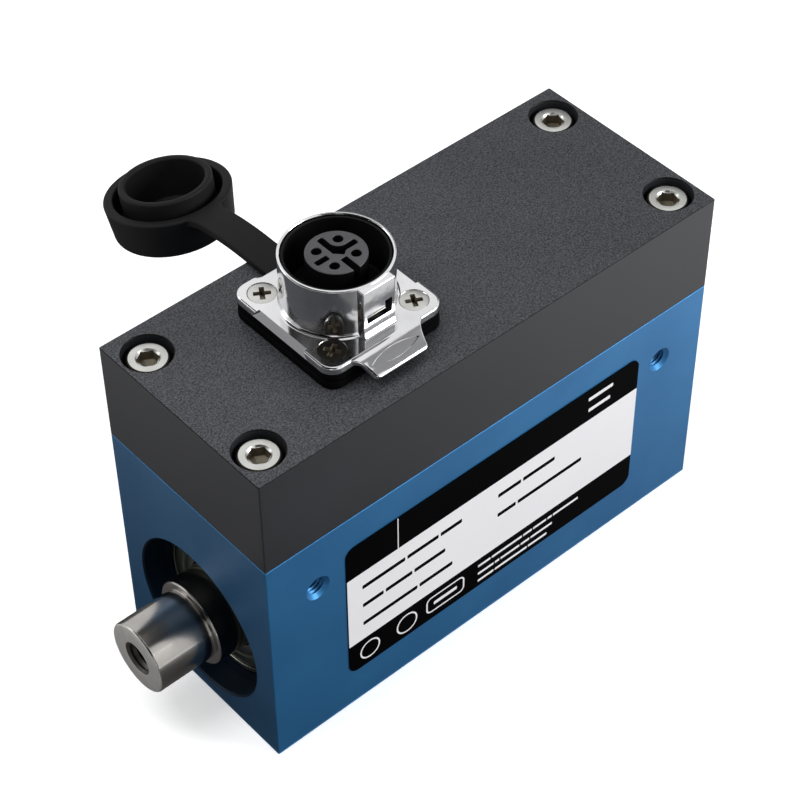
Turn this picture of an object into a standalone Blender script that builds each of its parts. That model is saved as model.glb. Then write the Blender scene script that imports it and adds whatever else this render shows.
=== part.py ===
"""Rotary torque sensor: a shaft on two ball bearings in a block housing, with a panel socket on its cover.

Metres, +Z up. The origin is the middle of the housing's base, +X runs along the shaft,
and the nameplate is on the -Y face. Every angle is in degrees unless a name says otherwise.
"""
import math

import bmesh
import bpy
from mathutils import Matrix, Vector

MM = 0.001

# Clearances
SEAT_GAP = 0.1 * MM
CORE_GAP = 0.2 * MM
SEAM_GAP = 0.06 * MM
RUN_GAP = 0.2 * MM
SCREW_GAP = 0.2 * MM

# Housing block
BODY_LENGTH = 73.4 * MM
BODY_WIDTH = 30.0 * MM
BODY_HEIGHT = 35.4 * MM
BODY_CHAMFER = 0.4 * MM
SHAFT_HEIGHT = 13.5 * MM
RECESS_DIAMETER = 22.9 * MM
RECESS_DEPTH = 3.6 * MM
BORE_CHAMFER = 0.25 * MM
TROUGH_DIAMETER = 23.2 * MM
SHOULDER_THICKNESS = 1.4 * MM
SHOULDER_LIP = 1.3 * MM

# Tapped holes in the block: sides and base
SIDE_HOLE_SPACING = 58.2 * MM
SIDE_HOLE_HEIGHT = 26.9 * MM
SIDE_HOLE_DIAMETER = 2.5 * MM
SIDE_HOLE_DEPTH = 5.5 * MM
BASE_HOLE_SPACING_X = 58.2 * MM
BASE_HOLE_SPACING_Y = 22.0 * MM
BASE_HOLE_DIAMETER = 3.3 * MM
BASE_HOLE_DEPTH = 6.0 * MM
HOLE_CHAMFER = 0.35 * MM

# Top cover and its screws
COVER_TOP = 50.2 * MM
COVER_ROOF = 3.0 * MM
COVER_SCREW_SPACING_X = 66.0 * MM
COVER_SCREW_SPACING_Y = 20.8 * MM
COVER_SCREW_DIAMETER = 3.0 * MM
COVER_SCREW_HEAD = 5.5 * MM
COVER_SCREW_HEAD_HEIGHT = 3.0 * MM
COVER_SCREW_HEX = 2.5 * MM
COVER_SCREW_HEX_DEPTH = 1.5 * MM
COVER_SCREW_EDGE = 0.35 * MM
COVER_SCREW_TURN = 20.0
COVER_SCREW_THREAD = 7.0 * MM
COUNTERBORE_DIAMETER = 6.3 * MM
COUNTERBORE_DEPTH = 3.8 * MM

# Shaft
SHAFT_REACH = 46.3 * MM
STUB_DIAMETER = 10.0 * MM
STUB_LENGTH = 8.3 * MM
STUB_HOLE_DIAMETER = 4.0 * MM
STUB_HOLE_DEPTH = 9.0 * MM
STUB_HOLE_CHAMFER = 0.2 * MM
JOURNAL_DIAMETER = 12.0 * MM
CARRIER_DIAMETER = 14.0 * MM
CARRIER_LENGTH = 11.5 * MM
TORSION_DIAMETER = 8.0 * MM
TORSION_SQUARE = 6.0 * MM
TORSION_LENGTH = 24.0 * MM
SHAFT_CHAMFER = 0.3 * MM

# Ball bearings
BEARING_OUTER = 21.0 * MM
BEARING_WIDTH = 5.0 * MM
INNER_LAND = 14.9 * MM
OUTER_LAND = 18.8 * MM
RACE_DEPTH = 0.35 * MM
RACE_WIDTH = 1.9 * MM
BALL_DIAMETER = 2.38 * MM
BALL_COUNT = 12
CAGE_WIDTH = 1.5 * MM
CAGE_WALL = 1.0 * MM
SHIELD_THICKNESS = 0.35 * MM
SHIELD_INSET = 0.15 * MM
SHIELD_SEAT = 0.25 * MM

# Rotary transformer
CORE_WIDTH = 5.0 * MM
CORE_OFFSET = 22.4 * MM
ROTOR_CORE_WALL = 2.4 * MM
AIR_GAP = 0.3 * MM
WINDING_WIDTH = 2.6 * MM
WINDING_DEPTH = 1.3 * MM

# Electronics
ROTOR_BOARD_DIAMETER = 20.4 * MM
ROTOR_BOARD_THICKNESS = 1.0 * MM
ROTOR_BOARD_OFFSET = 17.9 * MM
GAUGE_LENGTH = 9.0 * MM
GAUGE_WIDTH = 4.5 * MM
GAUGE_THICKNESS = 0.15 * MM
GAUGE_GLUE = 0.05 * MM
BOARD_LENGTH = 50.0 * MM
BOARD_WIDTH = 21.0 * MM
BOARD_THICKNESS = 1.6 * MM
BOSS_HEIGHT = 6.3 * MM
BOSS_DIAMETER = 4.6 * MM
BOARD_SCREW_SPACING_X = 44.0 * MM
BOARD_SCREW_SPACING_Y = 15.4 * MM
BOARD_SCREW_DIAMETER = 2.0 * MM
BOARD_SCREW_HEAD = 3.6 * MM
BOARD_SCREW_HEAD_HEIGHT = 1.3 * MM
BOARD_SCREW_LENGTH = 5.5 * MM
HEADER_LENGTH = 3.0 * MM
HEADER_WIDTH = 8.0 * MM
HEADER_HEIGHT = 3.4 * MM
HEADER_OFFSET = 2.4 * MM
PROCESSOR_SIZE = 9.0 * MM
PROCESSOR_HEIGHT = 1.4 * MM
PROCESSOR_OFFSET = 9.0 * MM
AMPLIFIER_LENGTH = 5.0 * MM
AMPLIFIER_WIDTH = 7.0 * MM
AMPLIFIER_HEIGHT = 1.2 * MM
AMPLIFIER_OFFSET = 17.6 * MM
RIBBON_WIDTH = 5.0 * MM
RIBBON_THICKNESS = 0.6 * MM
RIBBON_HEIGHT = 0.5 * MM
LEAD_DIAMETER = 1.0 * MM
LEAD_LEAN = 3.0 * MM

# Panel socket
SOCKET_OFFSET = -12.4 * MM
FLANGE_LENGTH = 17.9 * MM
FLANGE_WIDTH = 18.5 * MM
FLANGE_THICKNESS = 1.1 * MM
FLANGE_CORNER = 2.0 * MM
FLANGE_INSET = 0.55 * MM
FLANGE_EDGE = 0.18 * MM
FACET_WIDTH = 0.6 * MM
FACET_RUN = 5.0 * MM
FACET_LIP = 0.1 * MM
LOBE_SLOPE = 0.08 * MM
TAB_ROOT = 11.0 * MM
TAB_TIP = 7.7 * MM
TAB_LENGTH = 3.1 * MM
TAB_SHIFT = 0.4 * MM
TAB_CORNER = 0.3 * MM
TAB_SLOPE = 30.0
TAB_BEND_LENGTH = 1.5 * MM
TAB_BEND_INSET = 0.5 * MM
LENS_LENGTH = 7.4 * MM
LENS_WIDTH = 1.6 * MM
LENS_DEPTH = 0.15 * MM
BARREL_DIAMETER = 14.0 * MM
BARREL_WALL = 0.4 * MM
BARREL_HEIGHT = 7.21 * MM
BARREL_FOOT = 0.55 * MM
BARREL_EDGE = 0.2 * MM
SPIGOT_DIAMETER = 12.6 * MM
SPIGOT_WALL = 0.8 * MM
SPIGOT_DEPTH = 6.2 * MM
BOSS_FACE = 7.6 * MM
BOSS_WIDTH = 4.9 * MM
BOSS_EDGE = 0.12 * MM
WINDOW_WIDTH = 3.8 * MM
WINDOW_HEIGHT = 1.25 * MM
WINDOW_RISE = 2.05 * MM
WINDOW_STEP_WIDTH = 1.05 * MM
WINDOW_STEP_HEIGHT = 0.85 * MM
LINER_WALL = 0.3 * MM
LINER_DROP = 0.25 * MM
LINER_FLOOR = 1.2 * MM
PILLAR_DIAMETER = 7.5 * MM
PILLAR_DROP = 0.15 * MM
SLOT_WIDTH = 0.9 * MM
SLOT_REACH = 3.1 * MM
SLOT_DEPTH = 4.5 * MM
SLOT_START = 1.25 * MM
CONTACT_PITCH = 3.3 * MM
CONTACT_LAND = 1.25 * MM
CONTACT_DIAMETER = 1.7 * MM
CONTACT_BORE = 1.0 * MM
CONTACT_BORE_DEPTH = 5.0 * MM
CONTACT_DROP = 1.6 * MM
CONTACT_MOUTH = 1.27 * MM
CONTACT_TAIL = 1.2 * MM
CONTACT_TAIL_LENGTH = 1.8 * MM

# Flange screws, gasket and strap plate
FLANGE_SCREW_SPACING_X = 12.6 * MM
FLANGE_SCREW_SPACING_Y = 12.85 * MM
FLANGE_SCREW_DIAMETER = 2.0 * MM
FLANGE_SCREW_HEAD = 3.5 * MM
FLANGE_SCREW_HEAD_HEIGHT = 0.95 * MM
FLANGE_SCREW_LENGTH = 6.0 * MM
CROSS_LENGTH = 2.1 * MM
CROSS_WIDTH = 0.6 * MM
CROSS_DEPTH = 0.75 * MM
GASKET_THICKNESS = 1.13 * MM
GASKET_SETBACK = 0.05 * MM
PLATE_THICKNESS = 1.13 * MM

# Dust cap and its strap
STRAP_WIDTH = 4.4 * MM
HINGE_REACH = 1.05 * MM
HINGE_GAP = 0.15 * MM
STRAP_FLAT = 5.35 * MM
STRAP_CURVED = 8.2 * MM
CAP_TILT = 12.0
CAP_DIAMETER = 16.8 * MM
CAP_BASE_DIAMETER = 15.6 * MM
CAP_HEIGHT = 5.4 * MM
CAP_RIM_EDGE = 0.3 * MM
CAP_BASE_EDGE = 0.7 * MM
CAP_FLOOR = 1.2 * MM
CAP_GAP = 0.1 * MM
CAP_TUBE_WALL = 0.95 * MM
CAP_TUBE_RISE = 1.7 * MM
CAP_TONGUE = 1.2 * MM
CAP_FLARE = 2.4 * MM

# Nameplate
PLATE_CENTRE_X = 0.1 * MM
PLATE_LOW = 6.3 * MM
PLATE_LENGTH = 49.8 * MM
PLATE_HEIGHT = 23.8 * MM
PLATE_CORNER = 1.5 * MM
PLATE_FOIL = 0.15 * MM

# Facets round a full turn
FINE_COUNT = 32
ROUND_COUNT = 24
MEDIUM_COUNT = 20
COARSE_COUNT = 16
SMALL_COUNT = 10
TINY_COUNT = 8
BALL_SIDES_COUNT = 5

# Worked out from the sizes above
HALF_LENGTH = BODY_LENGTH / 2
HALF_WIDTH = BODY_WIDTH / 2
COVER_LOW = BODY_HEIGHT + SEAM_GAP
BEARING_FACE = HALF_LENGTH - RECESS_DEPTH
BEARING_BACK = BEARING_FACE - BEARING_WIDTH
TROUGH_END = BEARING_BACK - SEAT_GAP - SHOULDER_THICKNESS
TROUGH_RADIUS = TROUGH_DIAMETER / 2
CARRIER_END = BEARING_BACK - SEAT_GAP
CARRIER_START = CARRIER_END - CARRIER_LENGTH
JOURNAL_END = SHAFT_REACH - STUB_LENGTH
PLATE_TOP = COVER_TOP + SEAM_GAP + PLATE_THICKNESS
GASKET_TOP = PLATE_TOP + SEAM_GAP + GASKET_THICKNESS
FLANGE_LOW = GASKET_TOP + SEAM_GAP
FLANGE_TOP = FLANGE_LOW + FLANGE_THICKNESS
BARREL_TOP = FLANGE_TOP + BARREL_HEIGHT
LINER_RADIUS = BARREL_DIAMETER / 2 - BARREL_WALL - SEAT_GAP
LINER_BORE = LINER_RADIUS - LINER_WALL
SPIGOT_END = COVER_TOP - SPIGOT_DEPTH
BOARD_TOP = COVER_TOP - COVER_ROOF - BOSS_HEIGHT - SEAT_GAP
BOARD_LOW = BOARD_TOP - BOARD_THICKNESS
HALF_FLANGE_X, HALF_FLANGE_Y = FLANGE_LENGTH / 2, FLANGE_WIDTH / 2
HINGE_Y = HALF_FLANGE_Y + HINGE_REACH
HINGE_Z = PLATE_TOP - PLATE_THICKNESS / 2
CENTRES = [(x, y) for x in (-1, 1) for y in (-1, 1)]


def material(name, colour, roughness, metallic=0.0):
    """Return the named material, a Principled surface of one colour."""
    found = bpy.data.materials.get(name)
    if found:
        return found
    made = bpy.data.materials.new(name)
    made.use_nodes = True
    shader = made.node_tree.nodes["Principled BSDF"]
    shader.inputs["Base Color"].default_value = (*colour, 1.0)
    shader.inputs["Roughness"].default_value = roughness
    shader.inputs["Metallic"].default_value = metallic
    made.diffuse_color = (*colour, 1.0)
    return made


def blue_anodised():
    return material("blue_anodised_aluminium", (0.035, 0.15, 0.36), 0.42, 0.6)


def black_anodised():
    return material("black_anodised_aluminium", (0.035, 0.037, 0.042), 0.55, 0.4)


def ground_steel():
    return material("ground_steel", (0.52, 0.51, 0.50), 0.22, 1.0)


def bright_screw():
    return material("nickel_plated_steel", (0.62, 0.60, 0.56), 0.28, 1.0)


def die_cast():
    return material("plated_zinc", (0.68, 0.68, 0.69), 0.16, 1.0)


def black_plastic():
    return material("black_moulded_plastic", (0.012, 0.012, 0.013), 0.4)


def grey_plastic():
    return material("grey_moulded_plastic", (0.16, 0.16, 0.165), 0.5)


def black_rubber():
    return material("black_rubber", (0.014, 0.014, 0.015), 0.6)


def gold_contact():
    return material("gold_plated_brass", (0.80, 0.58, 0.24), 0.25, 1.0)


def copper_wire():
    return material("enamelled_copper", (0.55, 0.20, 0.08), 0.35, 1.0)


def ferrite():
    return material("ferrite", (0.05, 0.05, 0.055), 0.6)


def board_green():
    return material("circuit_board", (0.02, 0.13, 0.05), 0.4)


def foil_white():
    return material("printed_foil", (0.82, 0.82, 0.84), 0.35)


def gauge_foil():
    return material("gauge_foil", (0.72, 0.45, 0.12), 0.4)


def ribbon_grey():
    return material("grey_ribbon_cable", (0.30, 0.30, 0.31), 0.55)


def merged(*parts):
    """Gather several closed shapes in one bmesh, for cutting with or for joining on."""
    whole = bmesh.new()
    for part in parts:
        mesh = bpy.data.meshes.new("part")
        part.to_mesh(mesh)
        part.free()
        whole.from_mesh(mesh)
        bpy.data.meshes.remove(mesh)
    return whole


def moved(shape, offset):
    shape.transform(Matrix.Translation(Vector(offset)))
    return shape


def turned(shape, degrees, axis):
    shape.transform(Matrix.Rotation(math.radians(degrees), 4, axis))
    return shape


def lathe(profile, segments, along="Z"):
    """Spin a closed outline of (radius, height) points once round Z, then lay Z along the asked axis."""
    shape = bmesh.new()
    points = [shape.verts.new((radius, 0.0, height)) for radius, height in profile]
    edges = [shape.edges.new((a, b)) for a, b in zip(points, points[1:] + points[:1])
             if a.co.x > 0 or b.co.x > 0]
    bmesh.ops.spin(shape, geom=points + edges, cent=(0, 0, 0), axis=(0, 0, 1),
                   angle=math.tau, steps=int(segments), use_merge=True)
    bmesh.ops.remove_doubles(shape, verts=shape.verts, dist=MM / 1000)
    bmesh.ops.recalc_face_normals(shape, faces=shape.faces)
    if along == "X":
        turned(shape, 90, "Y")
    if along == "Y":
        turned(shape, -90, "X")
    return shape


def rod(radius, low, high, segments, along="Z"):
    """A plain cylinder between two heights along an axis."""
    return lathe([(0, low), (radius, low), (radius, high), (0, high)], segments, along)


def tube(bore, radius, low, high, segments, along="Z"):
    """A plain ring between two heights along an axis."""
    return lathe([(bore, low), (radius, low), (radius, high), (bore, high)], segments, along)


def block(low, high):
    """A box between its lowest and its highest corner."""
    shape = bmesh.new()
    bmesh.ops.create_cube(shape, size=1.0)
    size = [b - a for a, b in zip(low, high)]
    middle = [(a + b) / 2 for a, b in zip(low, high)]
    bmesh.ops.scale(shape, vec=size, verts=shape.verts)
    return moved(shape, middle)


def prism(outline, low, high, along="Z"):
    """Extrude a flat outline. Along Z it is given in (x, y), along X in (y, z) and along Y in (x, z)."""
    spots = {"Z": lambda a, b: (a, b, low), "X": lambda a, b: (low, a, b), "Y": lambda a, b: (a, low, b)}
    way = {"Z": (0, 0, 1), "X": (1, 0, 0), "Y": (0, 1, 0)}[along]
    shape = bmesh.new()
    face = shape.faces.new([shape.verts.new(spots[along](a, b)) for a, b in outline])
    grown = bmesh.ops.extrude_face_region(shape, geom=[face])
    tops = [item for item in grown["geom"] if isinstance(item, bmesh.types.BMVert)]
    bmesh.ops.translate(shape, verts=tops, vec=Vector(way) * (high - low))
    bmesh.ops.recalc_face_normals(shape, faces=shape.faces)
    return shape


def arc(centre, radius, start, end, steps):
    """Points on a circle from one angle to another, both included."""
    angles = [math.radians(start + (end - start) * i / steps) for i in range(steps + 1)]
    return [(centre[0] + radius * math.cos(a), centre[1] + radius * math.sin(a)) for a in angles]


def rounded_square(half_x, half_y, corner, steps=5):
    """The outline of a rectangle with round corners, anticlockwise from the +X side."""
    outline = []
    for quarter, (sx, sy) in enumerate(((1, 1), (-1, 1), (-1, -1), (1, -1))):
        centre = (sx * (half_x - corner), sy * (half_y - corner))
        outline += arc(centre, corner, 90 * quarter, 90 * quarter + 90, steps)
    return outline


def mesh_of(shape):
    mesh = bpy.data.meshes.new("shape")
    shape.to_mesh(mesh)
    shape.free()
    return mesh


def shaped(base, steps):
    """Apply a list of Boolean and bevel steps to a shape and return the finished mesh."""
    work = bpy.data.objects.new("work", mesh_of(base))
    bpy.context.scene.collection.objects.link(work)
    for kind, value in steps:
        if kind == "bevel":
            step = work.modifiers.new("edge", "BEVEL")
            step.width, step.segments, step.limit_method = value, 1, "ANGLE"
            step.angle_limit = math.radians(50)
            tool = None
        else:
            tool = bpy.data.objects.new("tool", mesh_of(value))
            bpy.context.scene.collection.objects.link(tool)
            tool.hide_render = True
            tool.display_type = "WIRE"
            step = work.modifiers.new("step", "BOOLEAN")
            step.object, step.operation, step.solver = tool, kind, "EXACT"
        bpy.context.view_layer.update()
        result = bpy.data.meshes.new_from_object(work.evaluated_get(bpy.context.evaluated_depsgraph_get()))
        work.modifiers.clear()
        work.data = result
        if tool:
            bpy.data.objects.remove(tool)
    mesh = work.data
    bpy.data.objects.remove(work)
    return mesh


def place(name, mesh, finish, origin=(0, 0, 0), shift=True):
    """Add a named piece. Its mesh is in world places, and its origin is set on its joint's axis."""
    if shift:
        mesh.transform(Matrix.Translation(-Vector(origin)))
    mesh.materials.clear()
    mesh.materials.append(finish)
    mesh.shade_smooth()
    mesh.set_sharp_from_angle(angle=math.radians(32))
    piece = bpy.data.objects.new(name, mesh)
    piece.location = origin
    bpy.context.scene.collection.objects.link(piece)
    return piece


def on_axis(shape):
    """Lift a shape turned about X to the height of the shaft."""
    return moved(shape, (0, 0, SHAFT_HEIGHT))


def spread(make, places):
    """Make the same cutter at several places and gather the copies."""
    return merged(*[moved(make(), spot) for spot in places])


def corners(spacing_x, spacing_y, height=0.0, centre_x=0.0):
    return [(centre_x + x * spacing_x / 2, y * spacing_y / 2, height) for x, y in CENTRES]


def tapped_hole(radius, depth, along="Z"):
    """A blind hole with a chamfered mouth at zero, going down from it."""
    mouth = radius + HOLE_CHAMFER
    outline = [(0, -depth), (radius, -depth), (radius, -HOLE_CHAMFER), (mouth + MM, MM), (0, MM)]
    return lathe(outline, SMALL_COUNT, along)


def housing_body():
    """The anodised block, bored from both ends and milled open on top."""
    seat = BEARING_OUTER / 2 + SEAT_GAP
    recess = RECESS_DIAMETER / 2
    lip = BEARING_OUTER / 2 - SHOULDER_LIP
    back = BEARING_BACK - SEAT_GAP
    half = [(TROUGH_RADIUS, 0), (TROUGH_RADIUS, TROUGH_END), (lip, TROUGH_END), (lip, back),
            (seat, back), (seat, BEARING_FACE), (recess, BEARING_FACE),
            (recess, HALF_LENGTH - BORE_CHAMFER), (recess + BORE_CHAMFER + MM, HALF_LENGTH + MM)]
    outline = [(0, -HALF_LENGTH - MM)] + [(r, -x) for r, x in reversed(half[1:])]
    outline += half[1:] + [(0, HALF_LENGTH + MM)]
    bore = on_axis(lathe(outline, ROUND_COUNT, "X"))
    pocket_half = TROUGH_RADIUS + SEAT_GAP
    pocket = block((-TROUGH_END, -pocket_half, SHAFT_HEIGHT), (TROUGH_END, pocket_half, BODY_HEIGHT + MM))
    screw = COVER_SCREW_DIAMETER / 2 + SEAT_GAP
    depth = COVER_SCREW_THREAD + MM
    top_holes = spread(lambda: rod(screw, -depth, MM, SMALL_COUNT),
                       corners(COVER_SCREW_SPACING_X, COVER_SCREW_SPACING_Y, BODY_HEIGHT))
    base_holes = spread(lambda: turned(tapped_hole(BASE_HOLE_DIAMETER / 2, BASE_HOLE_DEPTH), 180, "X"),
                        corners(BASE_HOLE_SPACING_X, BASE_HOLE_SPACING_Y))
    side = SIDE_HOLE_SPACING / 2
    front = spread(lambda: turned(tapped_hole(SIDE_HOLE_DIAMETER / 2, SIDE_HOLE_DEPTH), 90, "X"),
                   [(x, -HALF_WIDTH, SIDE_HOLE_HEIGHT) for x in (-side, side)])
    rear = spread(lambda: turned(tapped_hole(SIDE_HOLE_DIAMETER / 2, SIDE_HOLE_DEPTH), -90, "X"),
                  [(x, HALF_WIDTH, SIDE_HOLE_HEIGHT) for x in (-side, side)])
    base = block((-HALF_LENGTH, -HALF_WIDTH, 0), (HALF_LENGTH, HALF_WIDTH, BODY_HEIGHT))
    steps = [("bevel", BODY_CHAMFER), ("DIFFERENCE", bore), ("DIFFERENCE", pocket),
             ("DIFFERENCE", merged(top_holes, base_holes, front, rear))]
    place("housing_body", shaped(base, steps), blue_anodised())


def top_cover():
    """The anodised lid: hollow below, with bosses for the board and holes for the screws and the socket."""
    roof = COVER_TOP - COVER_ROOF
    inner = TROUGH_RADIUS + SEAT_GAP
    pocket = block((-TROUGH_END, -inner, COVER_LOW - MM), (TROUGH_END, inner, roof))
    boss_low = roof - BOSS_HEIGHT
    spots = corners(BOARD_SCREW_SPACING_X, BOARD_SCREW_SPACING_Y)
    bosses = spread(lambda: rod(BOSS_DIAMETER / 2, boss_low, roof + COVER_ROOF / 3, SMALL_COUNT), spots)
    pilot = BOARD_SCREW_DIAMETER / 2 + SEAT_GAP
    pilots = spread(lambda: rod(pilot, boss_low - MM, boss_low + BOARD_SCREW_LENGTH, SMALL_COUNT), spots)
    wide, narrow = COUNTERBORE_DIAMETER / 2, COVER_SCREW_DIAMETER / 2 + SCREW_GAP
    floor, edge, high = COVER_TOP - COUNTERBORE_DEPTH, BORE_CHAMFER / 2, COVER_TOP + MM
    outline = [(0, COVER_LOW - MM), (narrow, COVER_LOW - MM), (narrow, floor), (wide, floor),
               (wide, COVER_TOP - edge), (wide + edge + MM, high), (0, high)]
    screw_spots = corners(COVER_SCREW_SPACING_X, COVER_SCREW_SPACING_Y)
    counterbores = spread(lambda: lathe(outline, COARSE_COUNT), screw_spots)
    hole = rod(SPIGOT_DIAMETER / 2 + SCREW_GAP, roof - MM, high, ROUND_COUNT)
    opening = moved(hole, (SOCKET_OFFSET, 0, 0))
    tapped = spread(lambda: rod(FLANGE_SCREW_DIAMETER / 2 + SEAT_GAP, roof - MM, COVER_TOP + MM, SMALL_COUNT),
                    corners(FLANGE_SCREW_SPACING_X, FLANGE_SCREW_SPACING_Y, 0, SOCKET_OFFSET))
    base = block((-HALF_LENGTH, -HALF_WIDTH, COVER_LOW), (HALF_LENGTH, HALF_WIDTH, COVER_TOP))
    steps = [("bevel", BODY_CHAMFER), ("DIFFERENCE", pocket), ("UNION", bosses),
             ("DIFFERENCE", merged(pilots, counterbores, opening, tapped))]
    place("top_cover", shaped(base, steps), black_anodised())


def hexagon(across_flats):
    radius = across_flats / math.sqrt(3)
    return arc((0, 0), radius, 0, 360, 6)[:-1]


def cover_screws():
    """Four socket cap screws, with a round shoulder on the head and a hexagon in it."""
    head, shank = COVER_SCREW_HEAD / 2, COVER_SCREW_DIAMETER / 2
    seat = COVER_TOP - COUNTERBORE_DEPTH + SEAT_GAP
    top = seat + COVER_SCREW_HEAD_HEIGHT
    low = BODY_HEIGHT - COVER_SCREW_THREAD
    edge = COVER_SCREW_EDGE
    outline = [(0, low), (shank - edge, low), (shank, low + edge), (shank, seat), (head, seat),
               (head, top - edge), (head - edge, top), (0, top)]
    socket = prism(hexagon(COVER_SCREW_HEX), top - COVER_SCREW_HEX_DEPTH, top + MM)
    turned(socket, COVER_SCREW_TURN, "Z")
    mesh = shaped(lathe(outline, SMALL_COUNT), [("DIFFERENCE", socket)])
    for number, (x, y, _) in enumerate(corners(COVER_SCREW_SPACING_X, COVER_SCREW_SPACING_Y), 1):
        place(f"cover_screw_{number}", mesh, bright_screw(), (x, y, 0), shift=False)


def torsion_shaft():
    """The turned shaft: stub, journal and carrier at each end, and a square torsion section between."""
    stub, journal, carrier = STUB_DIAMETER / 2, JOURNAL_DIAMETER / 2, CARRIER_DIAMETER / 2
    torsion, hole = TORSION_DIAMETER / 2, STUB_HOLE_DIAMETER / 2
    edge, mouth = SHAFT_CHAMFER, STUB_HOLE_CHAMFER
    tip = SHAFT_REACH - STUB_HOLE_DEPTH
    half = [(torsion, TORSION_LENGTH / 2), (carrier, CARRIER_START), (carrier, CARRIER_END),
            (journal, CARRIER_END), (journal, JOURNAL_END - edge), (journal - edge, JOURNAL_END),
            (stub, JOURNAL_END), (stub, SHAFT_REACH - edge), (stub - edge, SHAFT_REACH),
            (hole + mouth, SHAFT_REACH), (hole, SHAFT_REACH - mouth), (hole, tip), (0, tip - hole / 2)]
    outline = [(r, -x) for r, x in reversed(half)] + half
    side, far, end = TORSION_SQUARE / 2, CARRIER_DIAMETER, TORSION_LENGTH / 2
    flats = [turned(block((-end, side, -far), (end, far, far)), 90 * quarter, "X") for quarter in range(4)]
    mesh = shaped(lathe(outline, MEDIUM_COUNT, "X"), [("DIFFERENCE", flat) for flat in flats])
    mesh.transform(Matrix.Translation((0, 0, SHAFT_HEIGHT)))
    place("torsion_shaft", mesh, ground_steel(), (0, 0, SHAFT_HEIGHT))


def bearing_rings(side, label):
    """The inner and the outer ring of one bearing, each with a ball track."""
    middle = side * (BEARING_FACE - BEARING_WIDTH / 2)
    half, track = BEARING_WIDTH / 2, RACE_WIDTH / 4
    bore, inner, outer = JOURNAL_DIAMETER / 2 + SEAT_GAP, INNER_LAND / 2, OUTER_LAND / 2
    rim = BEARING_OUTER / 2
    shield_seat = half - SHIELD_INSET - SHIELD_THICKNESS - SEAT_GAP
    spot = (middle, 0, SHAFT_HEIGHT)
    ring = [(bore, -half), (inner, -half), (inner, -shield_seat), (inner - RACE_DEPTH, -track),
            (inner - RACE_DEPTH, track), (inner, shield_seat), (inner, half), (bore, half)]
    mesh = mesh_of(moved(lathe(ring, MEDIUM_COUNT, "X"), spot))
    place(f"bearing_inner_ring_{label}", mesh, ground_steel(), spot)
    wide = outer + SHIELD_SEAT
    ring = [(rim, -half), (rim, half), (wide, half), (wide, shield_seat), (outer, shield_seat),
            (outer + RACE_DEPTH, track), (outer + RACE_DEPTH, -track), (outer, -shield_seat),
            (wide, -shield_seat), (wide, -half)]
    place(f"bearing_outer_ring_{label}", mesh_of(moved(lathe(ring, MEDIUM_COUNT, "X"), spot)), ground_steel())


def bearing_shields(side, label):
    """The two sheet-metal shields pressed in the outer ring of one bearing."""
    middle = side * (BEARING_FACE - BEARING_WIDTH / 2)
    outward = BEARING_WIDTH / 2 - SHIELD_INSET
    bore = INNER_LAND / 2 + RUN_GAP
    rim = OUTER_LAND / 2 + SHIELD_SEAT - SEAT_GAP
    for end, where in ((side, "outer"), (-side, "inner")):
        faces = sorted((end * outward, end * (outward - SHIELD_THICKNESS)))
        shape = tube(bore, rim, faces[0], faces[1], MEDIUM_COUNT, "X")
        mesh = mesh_of(moved(shape, (middle, 0, SHAFT_HEIGHT)))
        place(f"bearing_shield_{label}_{where}", mesh, bright_screw())


def ball_cage(side, label):
    """One cage with its balls held in it, which turns slower than the shaft."""
    middle = side * (BEARING_FACE - BEARING_WIDTH / 2)
    pitch = (INNER_LAND + OUTER_LAND) / 4
    wall, half = CAGE_WALL / 2, CAGE_WIDTH / 2
    ring = tube(pitch - wall, pitch + wall, -half, half, COARSE_COUNT, "X")
    balls = []
    meridian = [(BALL_DIAMETER / 2 * r, BALL_DIAMETER / 2 * h) for r, h in arc((0, 0), 1, -90, 90, 3)]
    for index in range(BALL_COUNT):
        ball = moved(lathe(meridian, BALL_SIDES_COUNT), (0, 0, pitch))
        balls.append(turned(ball, 360 * index / BALL_COUNT, "X"))
    mesh = shaped(ring, [("UNION", merged(*balls))])
    spot = (middle, 0, SHAFT_HEIGHT)
    mesh.transform(Matrix.Translation(spot))
    place(f"ball_cage_{label}", mesh, ground_steel(), spot)


def rotary_transformer(side, label):
    """A wound rotor core on the shaft inside a wound stator core in the housing."""
    middle = (side * CORE_OFFSET, 0, SHAFT_HEIGHT)
    half, slot = CORE_WIDTH / 2, WINDING_WIDTH / 2
    bore = CARRIER_DIAMETER / 2 + CORE_GAP
    rim = bore + ROTOR_CORE_WALL
    floor = rim - WINDING_DEPTH
    core = [(bore, -half), (rim, -half), (rim, -slot), (floor, -slot),
            (floor, slot), (rim, slot), (rim, half), (bore, half)]
    place(f"rotor_core_{label}", mesh_of(moved(lathe(core, COARSE_COUNT, "X"), middle)), ferrite(), middle)
    wire = slot - SEAT_GAP
    coil = tube(floor + SEAT_GAP, rim - SEAT_GAP, -wire, wire, COARSE_COUNT, "X")
    place(f"rotor_winding_{label}", mesh_of(moved(coil, middle)), copper_wire(), middle)
    bore, rim = rim + AIR_GAP, TROUGH_RADIUS - SEAT_GAP
    floor = bore + WINDING_DEPTH
    core = [(bore, -half), (bore, -slot), (floor, -slot), (floor, slot),
            (bore, slot), (bore, half), (rim, half), (rim, -half)]
    place(f"stator_core_{label}", mesh_of(moved(lathe(core, COARSE_COUNT, "X"), middle)), ferrite())
    coil = tube(bore + SEAT_GAP, floor - SEAT_GAP, -wire, wire, COARSE_COUNT, "X")
    place(f"stator_winding_{label}", mesh_of(moved(coil, middle)), copper_wire())


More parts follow.
